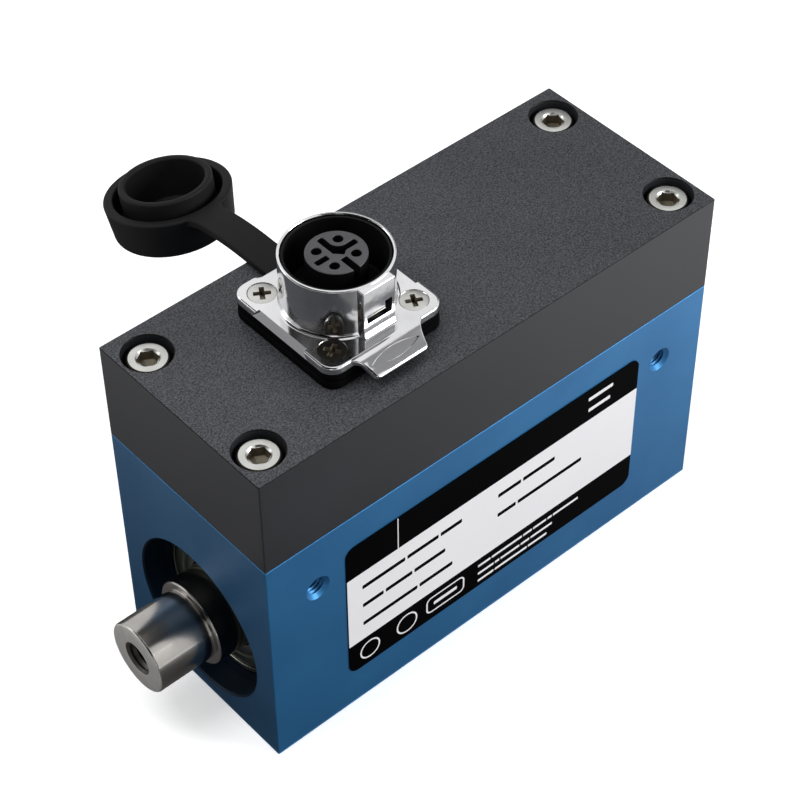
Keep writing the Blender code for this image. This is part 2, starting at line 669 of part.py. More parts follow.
def strain_gauges():
    """Four foil gauges, glued on the flats of the torsion section."""
    low, half_x, half_y = TORSION_SQUARE / 2 + GAUGE_GLUE, GAUGE_LENGTH / 2, GAUGE_WIDTH / 2
    for quarter in range(4):
        foil = block((-half_x, -half_y, low), (half_x, half_y, low + GAUGE_THICKNESS))
        mesh = mesh_of(on_axis(turned(foil, 90 * quarter, "X")))
        place(f"strain_gauge_{quarter + 1}", mesh, gauge_foil(), (0, 0, SHAFT_HEIGHT))


def rotor_board():
    """The round circuit board that turns with the shaft."""
    low = ROTOR_BOARD_OFFSET - ROTOR_BOARD_THICKNESS / 2
    bore = CARRIER_DIAMETER / 2 + CORE_GAP
    disc = tube(bore, ROTOR_BOARD_DIAMETER / 2, low, low + ROTOR_BOARD_THICKNESS, COARSE_COUNT, "X")
    place("rotor_circuit_board", mesh_of(on_axis(disc)), board_green(), (0, 0, SHAFT_HEIGHT))


def main_board():
    """The board hung from the cover's bosses, with its parts on top."""
    hole = BOARD_SCREW_DIAMETER / 2 + SEAT_GAP
    holes = spread(lambda: rod(hole, BOARD_LOW - MM, BOARD_TOP + MM, SMALL_COUNT),
                   corners(BOARD_SCREW_SPACING_X, BOARD_SCREW_SPACING_Y))
    half_x, half_y = BOARD_LENGTH / 2, BOARD_WIDTH / 2
    base = block((-half_x, -half_y, BOARD_LOW), (half_x, half_y, BOARD_TOP))
    place("main_circuit_board", shaped(base, [("DIFFERENCE", holes)]), board_green())
    low = BOARD_TOP + SEAT_GAP
    parts = [("board_header", HEADER_OFFSET, HEADER_LENGTH, HEADER_WIDTH, HEADER_HEIGHT),
             ("processor_chip", PROCESSOR_OFFSET, PROCESSOR_SIZE, PROCESSOR_SIZE, PROCESSOR_HEIGHT),
             ("amplifier_chip", AMPLIFIER_OFFSET, AMPLIFIER_LENGTH, AMPLIFIER_WIDTH, AMPLIFIER_HEIGHT)]
    for name, x, length, width, height in parts:
        chip = block((x - length / 2, -width / 2, low), (x + length / 2, width / 2, low + height))
        place(name, mesh_of(chip), black_plastic())


def board_screws():
    """Four pan-head screws up through the board into the bosses."""
    head, shank = BOARD_SCREW_HEAD / 2, BOARD_SCREW_DIAMETER / 2
    top = BOARD_LOW - SEAT_GAP
    low = top - BOARD_SCREW_HEAD_HEIGHT
    tip = top + BOARD_SCREW_LENGTH
    outline = [(0, low), (head * 0.8, low), (head, (low + top) / 2), (head, top),
               (shank, top), (shank, tip), (0, tip)]
    mesh = mesh_of(lathe(outline, TINY_COUNT))
    for number, (x, y, _) in enumerate(corners(BOARD_SCREW_SPACING_X, BOARD_SCREW_SPACING_Y), 1):
        place(f"board_screw_{number}", mesh, bright_screw(), (x, y, 0), shift=False)


def tab_half_width(run):
    """Half the tab's width at a distance out from the flange: a quick waist, then a steady taper."""
    waist = math.exp(-run / (TAB_LENGTH / 5))
    tip, root = TAB_TIP / 2, TAB_ROOT / 2
    steady = tip + (root - tip) / 2 * (1 - run / TAB_LENGTH)
    return steady + (root - steady) * waist


def tab_drop(run):
    """How far the tab's top lies below the flange's: a round bend, then a straight slope."""
    slope = math.radians(TAB_SLOPE)
    radius = TAB_BEND_LENGTH / math.sin(slope)
    along = run + TAB_BEND_INSET
    if along <= 0:
        return 0.0
    if along < TAB_BEND_LENGTH:
        return radius - math.sqrt(radius ** 2 - along ** 2)
    return radius * (1 - math.cos(slope)) + (along - TAB_BEND_LENGTH) * math.tan(slope)


def bend_stations():
    """Distances along the tab at which its bend is faceted."""
    return [TAB_BEND_LENGTH * i / 3 - TAB_BEND_INSET for i in range(4)]


def flange_outline():
    """The flange from above: a plate with round lobes, its +Y side set in, and the tab on its -Y side."""
    half, corner = HALF_FLANGE_Y, FLANGE_CORNER
    inner_x, inner_y = HALF_FLANGE_X - corner, HALF_FLANGE_Y - corner
    outline = arc((inner_x, inner_y), corner, 0, 90, 5)
    outline += [(FACET_RUN, half - LOBE_SLOPE), (FACET_RUN - FLANGE_INSET, half - FLANGE_INSET),
                (FLANGE_INSET - FACET_RUN, half - FLANGE_INSET), (-FACET_RUN, half - LOBE_SLOPE)]
    outline += arc((-inner_x, inner_y), corner, 90, 180, 5)
    outline += arc((-inner_x, -inner_y), corner, 180, 270, 5)
    runs = [0] + [run for run in bend_stations() if run > TAB_CORNER]
    runs += [TAB_LENGTH * 0.6, TAB_LENGTH - TAB_CORNER]
    tip = tab_half_width(TAB_LENGTH) - TAB_CORNER
    outline += [(-tab_half_width(run) - TAB_SHIFT, -half - run) for run in runs]
    outline += [(-tip - TAB_SHIFT, -half - TAB_LENGTH), (tip - TAB_SHIFT, -half - TAB_LENGTH)]
    outline += [(tab_half_width(run) - TAB_SHIFT, -half - run) for run in reversed(runs)]
    outline += arc((inner_x, -inner_y), corner, 270, 360, 5)
    return outline


def bent_flange():
    """The flange plate with its tab bent down."""
    plate = prism(flange_outline(), FLANGE_LOW, FLANGE_TOP)
    for run in bend_stations():
        bmesh.ops.bisect_plane(plate, geom=plate.verts[:] + plate.edges[:] + plate.faces[:],
                               plane_co=(0, -HALF_FLANGE_Y - run, 0), plane_no=(0, 1, 0), dist=MM / 1e5)
    for vertex in plate.verts:
        vertex.co.z -= tab_drop(-HALF_FLANGE_Y - vertex.co.y)
    return plate


def facet_cutter(side):
    """Cuts the sloping facet between the lobes on one side of the flange, down to its lower edge."""
    low, high = FLANGE_LOW + FACET_LIP, FLANGE_TOP + MM
    lean = FACET_WIDTH / (FLANGE_THICKNESS - FACET_LIP)
    edge, far = side * HALF_FLANGE_X, side * (HALF_FLANGE_X + MM)
    outline = [(edge, low), (far, low), (far, high), (edge - side * lean * (high - low), high)]
    wedge = prism(outline, -FACET_RUN, FACET_RUN, "Y")
    for vertex in wedge.verts:
        vertex.co.y *= 1 - lean * (vertex.co.z - low) / FACET_RUN
    return wedge


def lens_cutter():
    """A shallow lens-shaped recess in the tab's slope."""
    reach, half_width = LENS_LENGTH / 2, LENS_WIDTH / 2
    radius = (reach ** 2 + half_width ** 2) / (2 * half_width)
    sweep = math.degrees(math.asin(reach / radius))
    outline = arc((0, half_width - radius), radius, 90 - sweep, 90 + sweep, 8)
    outline += arc((0, radius - half_width), radius, 270 - sweep, 270 + sweep, 8)[1:-1]
    lens = turned(prism(outline, -LENS_DEPTH, MM), TAB_SLOPE, "X")
    run = (TAB_BEND_LENGTH - TAB_BEND_INSET + TAB_LENGTH) / 2
    return moved(lens, (-TAB_SHIFT, -HALF_FLANGE_Y - run, FLANGE_TOP - tab_drop(run)))


def connector_shell():
    """The plated die casting: flange with lobes and tab, barrel with a flat boss and a latch window."""
    outer, spigot = BARREL_DIAMETER / 2, SPIGOT_DIAMETER / 2
    foot, edge = BARREL_FOOT, BARREL_EDGE
    low = FLANGE_LOW + FLANGE_THICKNESS / 3
    body = [(0, SPIGOT_END), (spigot, SPIGOT_END), (spigot, low), (outer + foot / 2, low),
            (outer + foot, FLANGE_TOP), (outer + foot * 0.3, FLANGE_TOP + foot * 0.3),
            (outer, FLANGE_TOP + foot), (outer, BARREL_TOP - edge), (outer - edge, BARREL_TOP), (0, BARREL_TOP)]
    half_boss = BOSS_WIDTH / 2
    boss = block((-half_boss, -BOSS_FACE, low), (half_boss, -BOSS_FACE / 2, BARREL_TOP - edge))
    bmesh.ops.bevel(boss, geom=boss.edges[:], offset=BOSS_EDGE, segments=1, affect="EDGES")
    bore = outer - BARREL_WALL
    back = spigot - SPIGOT_WALL
    hollow = [(0, SPIGOT_END - MM), (back, SPIGOT_END - MM), (back, low), (bore, low),
              (bore, BARREL_TOP - edge / 2), (bore + edge / 2 + MM, BARREL_TOP + MM), (0, BARREL_TOP + MM)]
    sill = FLANGE_TOP + WINDOW_RISE
    left, right = -WINDOW_WIDTH / 2, WINDOW_WIDTH / 2
    top, step = sill + WINDOW_HEIGHT, right - WINDOW_STEP_WIDTH
    peak = top + WINDOW_STEP_HEIGHT
    opening = [(left, sill), (right, sill), (right, peak), (step, peak), (step, top), (left, top)]
    window = prism(opening, -BOSS_FACE - MM, -LINER_RADIUS + BARREL_WALL, "Y")
    head, shank = FLANGE_SCREW_HEAD / 2 + SEAT_GAP, FLANGE_SCREW_DIAMETER / 2 + SEAT_GAP
    cone = FLANGE_SCREW_HEAD_HEIGHT
    sink = [(0, FLANGE_LOW - MM), (shank, FLANGE_LOW - MM), (shank, FLANGE_TOP - cone),
            (head, FLANGE_TOP - cone / 8), (head, FLANGE_TOP + MM), (0, FLANGE_TOP + MM)]
    sinks = spread(lambda: lathe(sink, SMALL_COUNT), corners(FLANGE_SCREW_SPACING_X, FLANGE_SCREW_SPACING_Y))
    steps = [("bevel", FLANGE_EDGE), ("DIFFERENCE", merged(facet_cutter(-1), facet_cutter(1))),
             ("UNION", lathe(body, FINE_COUNT)), ("UNION", boss), ("DIFFERENCE", lathe(hollow, FINE_COUNT)),
             ("DIFFERENCE", merged(window, sinks)), ("DIFFERENCE", lens_cutter())]
    mesh = shaped(bent_flange(), steps)
    mesh.transform(Matrix.Translation((SOCKET_OFFSET, 0, 0)))
    place("connector_shell", mesh, die_cast())


def connector_liner():
    """The black moulding that lines the barrel and fills its tail."""
    tail = SPIGOT_DIAMETER / 2 - SPIGOT_WALL - SEAT_GAP
    ledge = FLANGE_LOW + FLANGE_THICKNESS / 3 + SEAT_GAP
    hole = PILLAR_DIAMETER / 2 + SEAT_GAP
    low, top = SPIGOT_END + SEAT_GAP, BARREL_TOP - LINER_DROP
    floor = ledge + LINER_FLOOR
    outline = [(hole, low), (tail, low), (tail, ledge), (LINER_RADIUS, ledge),
               (LINER_RADIUS, top), (LINER_BORE, top), (LINER_BORE, floor), (hole, floor)]
    mesh = mesh_of(moved(lathe(outline, ROUND_COUNT), (SOCKET_OFFSET, 0, 0)))
    place("connector_liner", mesh, black_plastic())


def contact_block():
    """The grey pillar with slots between its four contact holes: a bent one, a short one and a keyway."""
    radius, top = PILLAR_DIAMETER / 2, BARREL_TOP - PILLAR_DROP
    low = SPIGOT_END + SEAT_GAP
    floor, half = top - SLOT_DEPTH, SLOT_WIDTH / 2
    reach, start, key, pin = SLOT_REACH, SLOT_START, radius + MM, CONTACT_PITCH / 2
    bend = [(half, reach)] + arc((pin, pin), CONTACT_LAND, 180, 270, 4) + [(reach, half), (reach, -half)]
    bend += [(start, -half), (half, -2 * half), (-half, 0), (-half, reach)]
    slots = [bend, [(-reach, -half), (-start, -half), (-start, half), (-reach, half)],
             [(-half, -key), (half, -key), (half, -start), (-half, -start)]]
    body, mouth = CONTACT_DIAMETER / 2 + SEAT_GAP, CONTACT_MOUTH / 2
    shelf = top - CONTACT_DROP + SEAT_GAP
    hole = [(0, low - MM), (body, low - MM), (body, shelf), (mouth, shelf), (mouth, top + MM), (0, top + MM)]
    holes = spread(lambda: lathe(hole, SMALL_COUNT), corners(CONTACT_PITCH, CONTACT_PITCH))
    base = rod(radius, low, top, MEDIUM_COUNT)
    cuts = merged(*[prism(outline, floor, top + MM) for outline in slots], holes)
    mesh = shaped(base, [("DIFFERENCE", cuts)])
    mesh.transform(Matrix.Translation((SOCKET_OFFSET, 0, 0)))
    place("contact_block", mesh, grey_plastic())


def contacts():
    """Four turned socket contacts with solder tails."""
    radius, bore, tail = CONTACT_DIAMETER / 2, CONTACT_BORE / 2, CONTACT_TAIL / 2
    top = BARREL_TOP - PILLAR_DROP - CONTACT_DROP
    low = SPIGOT_END + SEAT_GAP
    end, floor = low - CONTACT_TAIL_LENGTH, top - CONTACT_BORE_DEPTH
    outline = [(0, end), (tail, end), (tail, low), (radius, low),
               (radius, top), (bore, top), (bore, floor), (0, floor)]
    mesh = mesh_of(lathe(outline, TINY_COUNT))
    for number, (x, y, _) in enumerate(corners(CONTACT_PITCH, CONTACT_PITCH, 0, SOCKET_OFFSET), 1):
        place(f"contact_{number}", mesh, gold_contact(), (x, y, 0), shift=False)


def flange_screws():
    """Four countersunk screws with a cross recess."""
    head, shank = FLANGE_SCREW_HEAD / 2, FLANGE_SCREW_DIAMETER / 2
    top = FLANGE_TOP - SEAM_GAP
    cone = FLANGE_SCREW_HEAD_HEIGHT
    low = top - FLANGE_SCREW_LENGTH
    outline = [(0, low), (shank, low), (shank, top - cone), (head, top - cone / 8), (head, top), (0, top)]
    long, half = CROSS_LENGTH / 2, CROSS_WIDTH / 2
    cross = [(half, half), (half, long), (-half, long), (-half, half), (-long, half), (-long, -half),
             (-half, -half), (-half, -long), (half, -long), (half, -half), (long, -half), (long, half)]
    mesh = shaped(lathe(outline, SMALL_COUNT), [("DIFFERENCE", prism(cross, top - CROSS_DEPTH, top + MM))])
    spots = corners(FLANGE_SCREW_SPACING_X, FLANGE_SCREW_SPACING_Y, 0, SOCKET_OFFSET)
    for number, (x, y, _) in enumerate(spots, 1):
        place(f"flange_screw_{number}", mesh, bright_screw(), (x, y, 0), shift=False)


def punched_holes(low, high):
    """The middle hole and the screw holes that the gasket and the strap plate share."""
    middle = rod(SPIGOT_DIAMETER / 2 + SCREW_GAP, low - MM, high + MM, COARSE_COUNT)
    screws = spread(lambda: rod(FLANGE_SCREW_DIAMETER / 2 + SEAT_GAP, low - MM, high + MM, SMALL_COUNT),
                    corners(FLANGE_SCREW_SPACING_X, FLANGE_SCREW_SPACING_Y))
    return merged(middle, screws)


def flange_gasket():
    """The flat rubber gasket under the flange."""
    half_x, half_y = HALF_FLANGE_X - GASKET_SETBACK, HALF_FLANGE_Y - GASKET_SETBACK
    low = GASKET_TOP - GASKET_THICKNESS
    base = prism(rounded_square(half_x, half_y, FLANGE_CORNER), low, GASKET_TOP)
    mesh = shaped(base, [("DIFFERENCE", punched_holes(low, GASKET_TOP))])
    mesh.transform(Matrix.Translation((SOCKET_OFFSET, 0, 0)))
    place("flange_gasket", mesh, black_rubber())


def strap_plate():
    """The rubber plate that carries the dust cap's strap, with a stub that ends at the strap's hinge line."""
    half, low = HALF_FLANGE_Y, PLATE_TOP - PLATE_THICKNESS
    end = HINGE_Y - PLATE_THICKNESS / 2 - HINGE_GAP
    outline = rounded_square(HALF_FLANGE_X, half, FLANGE_CORNER)
    wide = STRAP_WIDTH / 2
    stub = [(wide, half), (wide, end), (-wide, end), (-wide, half)]
    outline = outline[:6] + stub + outline[6:]
    mesh = shaped(prism(outline, low, PLATE_TOP), [("DIFFERENCE", punched_holes(low, PLATE_TOP))])
    mesh.transform(Matrix.Translation((SOCKET_OFFSET, 0, 0)))
    place("strap_plate", mesh, black_rubber())


def strap_path(steps=8):
    """The strap's middle line in (y, z): flat over the cover, then a round droop to the cap's tilt."""
    tilt = math.radians(CAP_TILT)
    radius = STRAP_CURVED / tilt
    start = HINGE_Y + STRAP_FLAT
    points = [(HINGE_Y, HINGE_Z)]
    for i in range(steps + 1):
        angle = tilt * i / steps
        points.append((start + radius * math.sin(angle), HINGE_Z - radius * (1 - math.cos(angle))))
    return points


def cap_strap():
    """The strap between its two hinge lines, with round ends about them."""
    half = PLATE_THICKNESS / 2
    path = strap_path()
    tilt = CAP_TILT
    first, last = path[0], path[-1]
    steps = len(path) - 2
    upper, lower = [], []
    for i, (y, z) in enumerate(path[1:-1]):
        angle = math.radians(tilt * i / steps)
        upper.append((y + half * math.sin(angle), z + half * math.cos(angle)))
        lower.append((y - half * math.sin(angle), z - half * math.cos(angle)))
    outline = arc(first, half, 270, 90, 6) + upper + arc(last, half, 90 - tilt, -90 - tilt, 6) + lower[::-1]
    left = SOCKET_OFFSET - STRAP_WIDTH / 2
    shape = prism(outline, left, left + STRAP_WIDTH, "X")
    place("cap_strap", mesh_of(shape), black_rubber(), (SOCKET_OFFSET, HINGE_Y, HINGE_Z))


def tongue_outline(reach):
    """The cap's tongue from above, in the rim's own frame: it flares from the strap's width into the rim."""
    half, wall = STRAP_WIDTH / 2, CAP_DIAMETER / 2
    inner = LINER_RADIUS + BARREL_WALL + CAP_GAP * 3
    end = -reach + PLATE_THICKNESS / 2 + HINGE_GAP
    foot = -math.sqrt(wall ** 2 - (half + CAP_FLARE) ** 2)
    centre_x = half + CAP_FLARE
    right = []
    for i in range(5):
        angle = math.radians(180 - 90 * i / 4)
        right.append((centre_x + CAP_FLARE * math.cos(angle), end + (foot - end) * math.sin(angle)))
    sweep = math.degrees(math.asin(centre_x / wall))
    back = arc((0, 0), inner, 270 + sweep * 0.8, 270 - sweep * 0.8, 6)
    left = [(-x, y) for x, y in reversed(right)]
    return [(half, end)] + right[1:] + back + left[:-1] + [(-half, end)]


def dust_cap():
    """The rubber cap, open side up: an outer wall, a sealing tube inside it, and the tongue to the strap."""
    outer, base = CAP_DIAMETER / 2, CAP_BASE_DIAMETER / 2
    groove = BARREL_DIAMETER / 2 + CAP_GAP
    tube_out = LINER_BORE - CAP_GAP
    tube_in = tube_out - CAP_TUBE_WALL
    floor = CAP_FLOOR - CAP_HEIGHT
    rim, edge = CAP_RIM_EDGE, CAP_BASE_EDGE
    profile = [(0, -CAP_HEIGHT), (base - edge, -CAP_HEIGHT), (base - edge * 0.3, edge * 0.3 - CAP_HEIGHT),
               (base, edge - CAP_HEIGHT), (outer, -rim), (outer - rim, 0), (groove, 0), (groove, floor),
               (tube_out, floor), (tube_out, CAP_TUBE_RISE - rim), (tube_out - rim, CAP_TUBE_RISE),
               (tube_in, CAP_TUBE_RISE), (tube_in, floor), (0, floor)]
    reach = outer + CAP_TONGUE + PLATE_THICKNESS / 2
    sink = SEAM_GAP / 3
    tongue = prism(tongue_outline(reach), -PLATE_THICKNESS, -sink)
    mesh = shaped(lathe(profile, ROUND_COUNT), [("UNION", tongue)])
    hinge_y, hinge_z = strap_path()[-1]
    to_rim = Matrix.Translation((0, reach, PLATE_THICKNESS / 2))
    lean = Matrix.Rotation(-math.radians(CAP_TILT), 4, "X")
    mesh.transform(Matrix.Translation((SOCKET_OFFSET, hinge_y, hinge_z)) @ lean @ to_rim)
    place("dust_cap", mesh, black_rubber(), (SOCKET_OFFSET, hinge_y, hinge_z))


def nameplate():
    """The printed foil on the housing's long face."""
    half_x, half_z = PLATE_LENGTH / 2, PLATE_HEIGHT / 2
    front = -HALF_WIDTH - SEAM_GAP / 2
    foil = prism(rounded_square(half_x, half_z, PLATE_CORNER), front - PLATE_FOIL, front, "Y")
    place("nameplate", mesh_of(moved(foil, (PLATE_CENTRE_X, 0, PLATE_LOW + half_z))), foil_white())


def ribbon_cable():
    """The flat cable from the socket's solder tails to the board header."""
    start = SOCKET_OFFSET - CONTACT_PITCH / 2 - CONTACT_TAIL
    end = HEADER_OFFSET - HEADER_LENGTH / 2 - SEAT_GAP
    high = SPIGOT_END + SEAT_GAP - CONTACT_TAIL_LENGTH - SEAT_GAP
    low = BOARD_TOP + RIBBON_HEIGHT
    turn = SOCKET_OFFSET + SPIGOT_DIAMETER / 2
    top, steps = [], 8
    for i in range(steps + 1):
        share = i / steps
        ease = (1 - math.cos(math.pi * share)) / 2
        top.append((turn + (end - turn) * share, high + (low + RIBBON_THICKNESS - high) * ease))
    top = [(start, high)] + top
    outline = top + [(x, z - RIBBON_THICKNESS) for x, z in reversed(top)]
    shape = prism(outline, -RIBBON_WIDTH / 2, RIBBON_WIDTH / 2, "Y")
    place("socket_ribbon_cable", mesh_of(shape), ribbon_grey())


def stator_lead(side, label):
    """The wire from one stator core up to the board."""
    low = SHAFT_HEIGHT + TROUGH_RADIUS
    high = BOARD_LOW - SEAT_GAP
    spline_data = bpy.data.curves.new("lead", "CURVE")
    spline_data.dimensions = "3D"
    spline_data.bevel_depth = LEAD_DIAMETER / 2
    spline_data.bevel_resolution = 1
    spline_data.use_fill_caps = True
    spline = spline_data.splines.new("POLY")
    count = 7
    spline.points.add(count - 1)
    for i in range(count):
        share = i / (count - 1)
        lean = LEAD_LEAN * (1 - math.cos(math.pi * share)) / 2
        spline.points[i].co = (side * (CORE_OFFSET - lean), 0, low + (high - low) * share, 1)
    wire = bpy.data.objects.new("wire", spline_data)
    bpy.context.scene.collection.objects.link(wire)
    bpy.context.view_layer.update()
    mesh = bpy.data.meshes.new_from_object(wire.evaluated_get(bpy.context.evaluated_depsgraph_get()))
    bpy.data.objects.remove(wire)
    shape = bmesh.new()
    shape.from_mesh(mesh)
    bmesh.ops.remove_doubles(shape, verts=shape.verts, dist=MM / 1000)
    bmesh.ops.recalc_face_normals(shape, faces=shape.faces)
    place(f"stator_lead_{label}", mesh_of(shape), ribbon_grey())


def main():
    """Clear the scene and build every piece."""
    for item in list(bpy.data.objects):
        bpy.data.objects.remove(item)
    housing_body()
    top_cover()
    cover_screws()
    torsion_shaft()
    for side, label in ((-1, "left"), (1, "right")):
        bearing_rings(side, label)
        bearing_shields(side, label)
        ball_cage(side, label)
        rotary_transformer(side, label)
        stator_lead(side, label)
    strain_gauges()
    rotor_board()
    main_board()
    board_screws()
    connector_shell()
    connector_liner()
    contact_block()
    contacts()
    flange_screws()
    flange_gasket()
    strap_plate()
    cap_strap()
    dust_cap()
    nameplate()
    ribbon_cable()


main()
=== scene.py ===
import logging
import math
from collections.abc import Callable, Iterator, Sequence
from dataclasses import dataclass, field
from enum import Enum

import bmesh
import bpy
import numpy as np
from mathutils import Matrix


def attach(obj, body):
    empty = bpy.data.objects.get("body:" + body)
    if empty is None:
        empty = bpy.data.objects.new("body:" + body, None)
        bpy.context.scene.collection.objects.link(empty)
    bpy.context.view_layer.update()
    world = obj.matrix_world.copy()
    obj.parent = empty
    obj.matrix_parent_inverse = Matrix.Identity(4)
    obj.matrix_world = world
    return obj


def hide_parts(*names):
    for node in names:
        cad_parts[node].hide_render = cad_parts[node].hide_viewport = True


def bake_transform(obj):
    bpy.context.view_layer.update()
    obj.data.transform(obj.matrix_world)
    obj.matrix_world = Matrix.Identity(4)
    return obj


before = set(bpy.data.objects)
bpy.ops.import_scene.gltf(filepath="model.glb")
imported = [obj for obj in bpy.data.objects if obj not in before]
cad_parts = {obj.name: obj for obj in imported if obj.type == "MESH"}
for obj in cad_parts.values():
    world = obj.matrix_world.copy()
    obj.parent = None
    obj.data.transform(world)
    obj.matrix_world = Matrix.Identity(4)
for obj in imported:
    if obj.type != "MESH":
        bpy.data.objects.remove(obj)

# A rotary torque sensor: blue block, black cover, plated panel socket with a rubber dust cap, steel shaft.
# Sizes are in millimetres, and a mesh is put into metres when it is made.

Array = np.ndarray
Pair = tuple[float, float]
Point = tuple[float, float, float]
Tree = bpy.types.NodeTree
Socket = bpy.types.NodeSocket
MM = 0.001
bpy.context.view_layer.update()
log = logging.getLogger("torque_sensor")

# What more than one sub-assembly is built to.
SHAFT_AXIS: Point = (0.0, 0.0, 13.5)
COVER_TOP = 50.2
COVER_SCREWS: Pair = (33.0, 10.4)
SOCKET_X = -12.4
FLANGE_HALF: Pair = (8.95, 9.25)
FLANGE_CORNER = 2.0
FLANGE_SCREWS: Pair = (6.3, 6.425)
QUADRANTS = ((-1, -1), (-1, 1), (1, -1), (1, 1))


# Shapes

class Step(Enum):
    """What a second solid does to the first."""

    CUT = "DIFFERENCE"
    JOIN = "UNION"


@dataclass(frozen=True)
class Surface:
    """A closed surface in millimetres: its points and the rows of point numbers that make its faces."""

    points: Array
    faces: list[list[int]]

    def moved(self, x: float = 0.0, y: float = 0.0, z: float = 0.0) -> "Surface":
        """The same surface shifted."""
        return Surface(self.points + np.array([x, y, z]), self.faces)

    def turned(self, degrees: float, axis: str) -> "Surface":
        """The same surface turned about an axis through the origin."""
        turn = np.array(Matrix.Rotation(math.radians(degrees), 3, axis))
        return Surface(self.points @ turn.T, self.faces)

    def mapped(self, rule: Callable[[Array], Array]) -> "Surface":
        """The same faces on points that the rule has moved, all in one array."""
        return Surface(rule(self.points), self.faces)


def together(surfaces: Sequence[Surface]) -> Surface:
    """Several surfaces as one, with nothing joined.

    Args:
        surfaces: the surfaces, which may not touch.

    Returns:
        One surface with all their points and faces.
    """
    starts = np.cumsum([0] + [len(s.points) for s in surfaces[:-1]])
    faces = [[int(start) + n for n in face] for s, start in zip(surfaces, starts) for face in s.faces]
    return Surface(np.concatenate([s.points for s in surfaces]), faces)


def at_corners(surface: Surface, x: float, y: float) -> Surface:
    """A copy of a surface at each of the four corners (x, y), (x, -y), (-x, y), (-x, -y)."""
    return together([surface.moved(a * x, b * y) for a, b in QUADRANTS])


def quads(rows: int, columns: int, wrap_rows: bool, wrap_columns: bool) -> Array:
    """The four-sided faces of a grid, whose point (i, j) has the number i * columns + j.

    Args:
        rows: points one way.
        columns: points the other way.
        wrap_rows: the last row meets the first.
        wrap_columns: the last column meets the first.

    Returns:
        One row of four point numbers for each face.
    """
    i, j = np.meshgrid(np.arange(rows if wrap_rows else rows - 1),
                       np.arange(columns if wrap_columns else columns - 1), indexing="ij")
    down, right = (i + 1) % rows, (j + 1) % columns
    corners = [i * columns + j, down * columns + j, down * columns + right, i * columns + right]
    return np.stack(corners, axis=-1).reshape(-1, 4)


def capped(grid: Array, order: int = 1) -> Surface:
    """A tube of closed rings, with a flat face on its first ring and on its last.

    Args:
        grid: the points, by ring, place on the ring and coordinate.
        order: 1 or -1, the way round that the side faces list their points.

    Returns:
        The closed tube.
    """
    rings, count = grid.shape[:2]
    last = count * (rings - 1)
    sides = quads(rings, count, False, True)[:, ::order].tolist()
    ends = [list(range(count))[::-1], list(range(last, last + count))]
    return Surface(grid.reshape(-1, 3), sides + ends)


def soften(corners: Sequence[Point], steps: int = 4) -> Array:
    """A closed outline with round corners.

    A corner P with the cut c starts at A, c before it, and ends at B, c after it. Between them runs the
    arc ((1-t)^2 A + 2t(1-t)w P + t^2 B) / ((1-t)^2 + 2t(1-t)w + t^2), t from 0 to 1, where w is the sine of
    half the corner's angle, which makes it a true circle.

    Args:
        corners: rows of the two coordinates and the cut.
        steps: pieces in each arc.

    Returns:
        The outline's points, one a row.
    """
    rows = np.array(corners, float)
    point, cut = rows[:, None, :2], rows[:, None, 2:]
    back, ahead = np.roll(point, 1, 0) - point, np.roll(point, -1, 0) - point
    back /= np.linalg.norm(back, axis=2, keepdims=True)
    ahead /= np.linalg.norm(ahead, axis=2, keepdims=True)
    weight = np.sqrt(np.clip((1 - (back * ahead).sum(2, keepdims=True)) / 2, 0, 1))
    t = np.linspace(0, 1, steps + 1)[None, :, None]
    shares = (1 - t) ** 2, 2 * t * (1 - t) * weight, t ** 2
    curve = shares[0] * (point + cut * back) + shares[1] * point + shares[2] * (point + cut * ahead)
    curve = (curve / (shares[0] + shares[1] + shares[2])).reshape(-1, 2)
    return curve[np.linalg.norm(curve - np.roll(curve, 1, 0), axis=1) > 1e-6]


def revolve(outline: Array, segments: int = 128, axis: str = "Z") -> Surface:
    """Turn a closed outline of radius r and height h once round: (r cos a, r sin a, h), a up to a full turn.

    Args:
        outline: rows of radius and height.
        segments: facets round the turn.
        axis: the axis that the height runs along, Z or X.

    Returns:
        The turned surface, its poles closed.
    """
    angle = np.arange(segments) * math.tau / segments
    radius, height = np.asarray(outline, float).T
    grid = np.stack([np.outer(np.cos(angle), radius), np.outer(np.sin(angle), radius),
                     np.tile(height, (segments, 1))], axis=-1)
    faces = quads(segments, len(radius), True, True)
    column = faces[:, 0] % len(radius)
    kept = faces[(radius[column] > 1e-9) | (radius[(column + 1) % len(radius)] > 1e-9)]
    surface = Surface(grid.reshape(-1, 3), kept.tolist())
    return surface.turned(90, "Y") if axis == "X" else surface


def cylinder(radius: float, low: float, high: float, segments: int) -> Surface:
    """A plain cylinder on the Z axis, from the height low to the height high."""
    return revolve(np.array([[0, low], [radius, low], [radius, high], [0, high]]), segments)


def loft(outline: Array, levels: Array) -> Surface:
    """A slab whose outline is drawn in by a given inset at each level.

    Point (u, v) is outline(u) + inset(v) * mitre(u), at height(v). The mitre is the sum of the inward normals
    of the two edges that meet at u over one plus their dot product. Two flat faces close it.

    Args:
        outline: rows of x and y, anticlockwise.
        levels: rows of height and inset, from the bottom up.

    Returns:
        The slab.
    """
    along = np.roll(outline, -1, 0) - outline
    along /= np.linalg.norm(along, axis=1, keepdims=True)
    inward = np.stack([-along[:, 1], along[:, 0]], axis=-1)
    before = np.roll(inward, 1, 0)
    mitre = (inward + before) / (1 + (inward * before).sum(1, keepdims=True))
    heights, insets = np.asarray(levels, float).T
    ring = outline[None] + insets[:, None, None] * mitre[None]
    height = np.broadcast_to(heights[:, None, None], ring.shape[:2] + (1,))
    return capped(np.concatenate([ring, height], axis=2), -1)


def prism(outline: Array, low: float, high: float) -> Surface:
    """A slab with upright sides, from the height low to the height high."""
    return loft(outline, np.array([[low, 0.0], [high, 0.0]]))


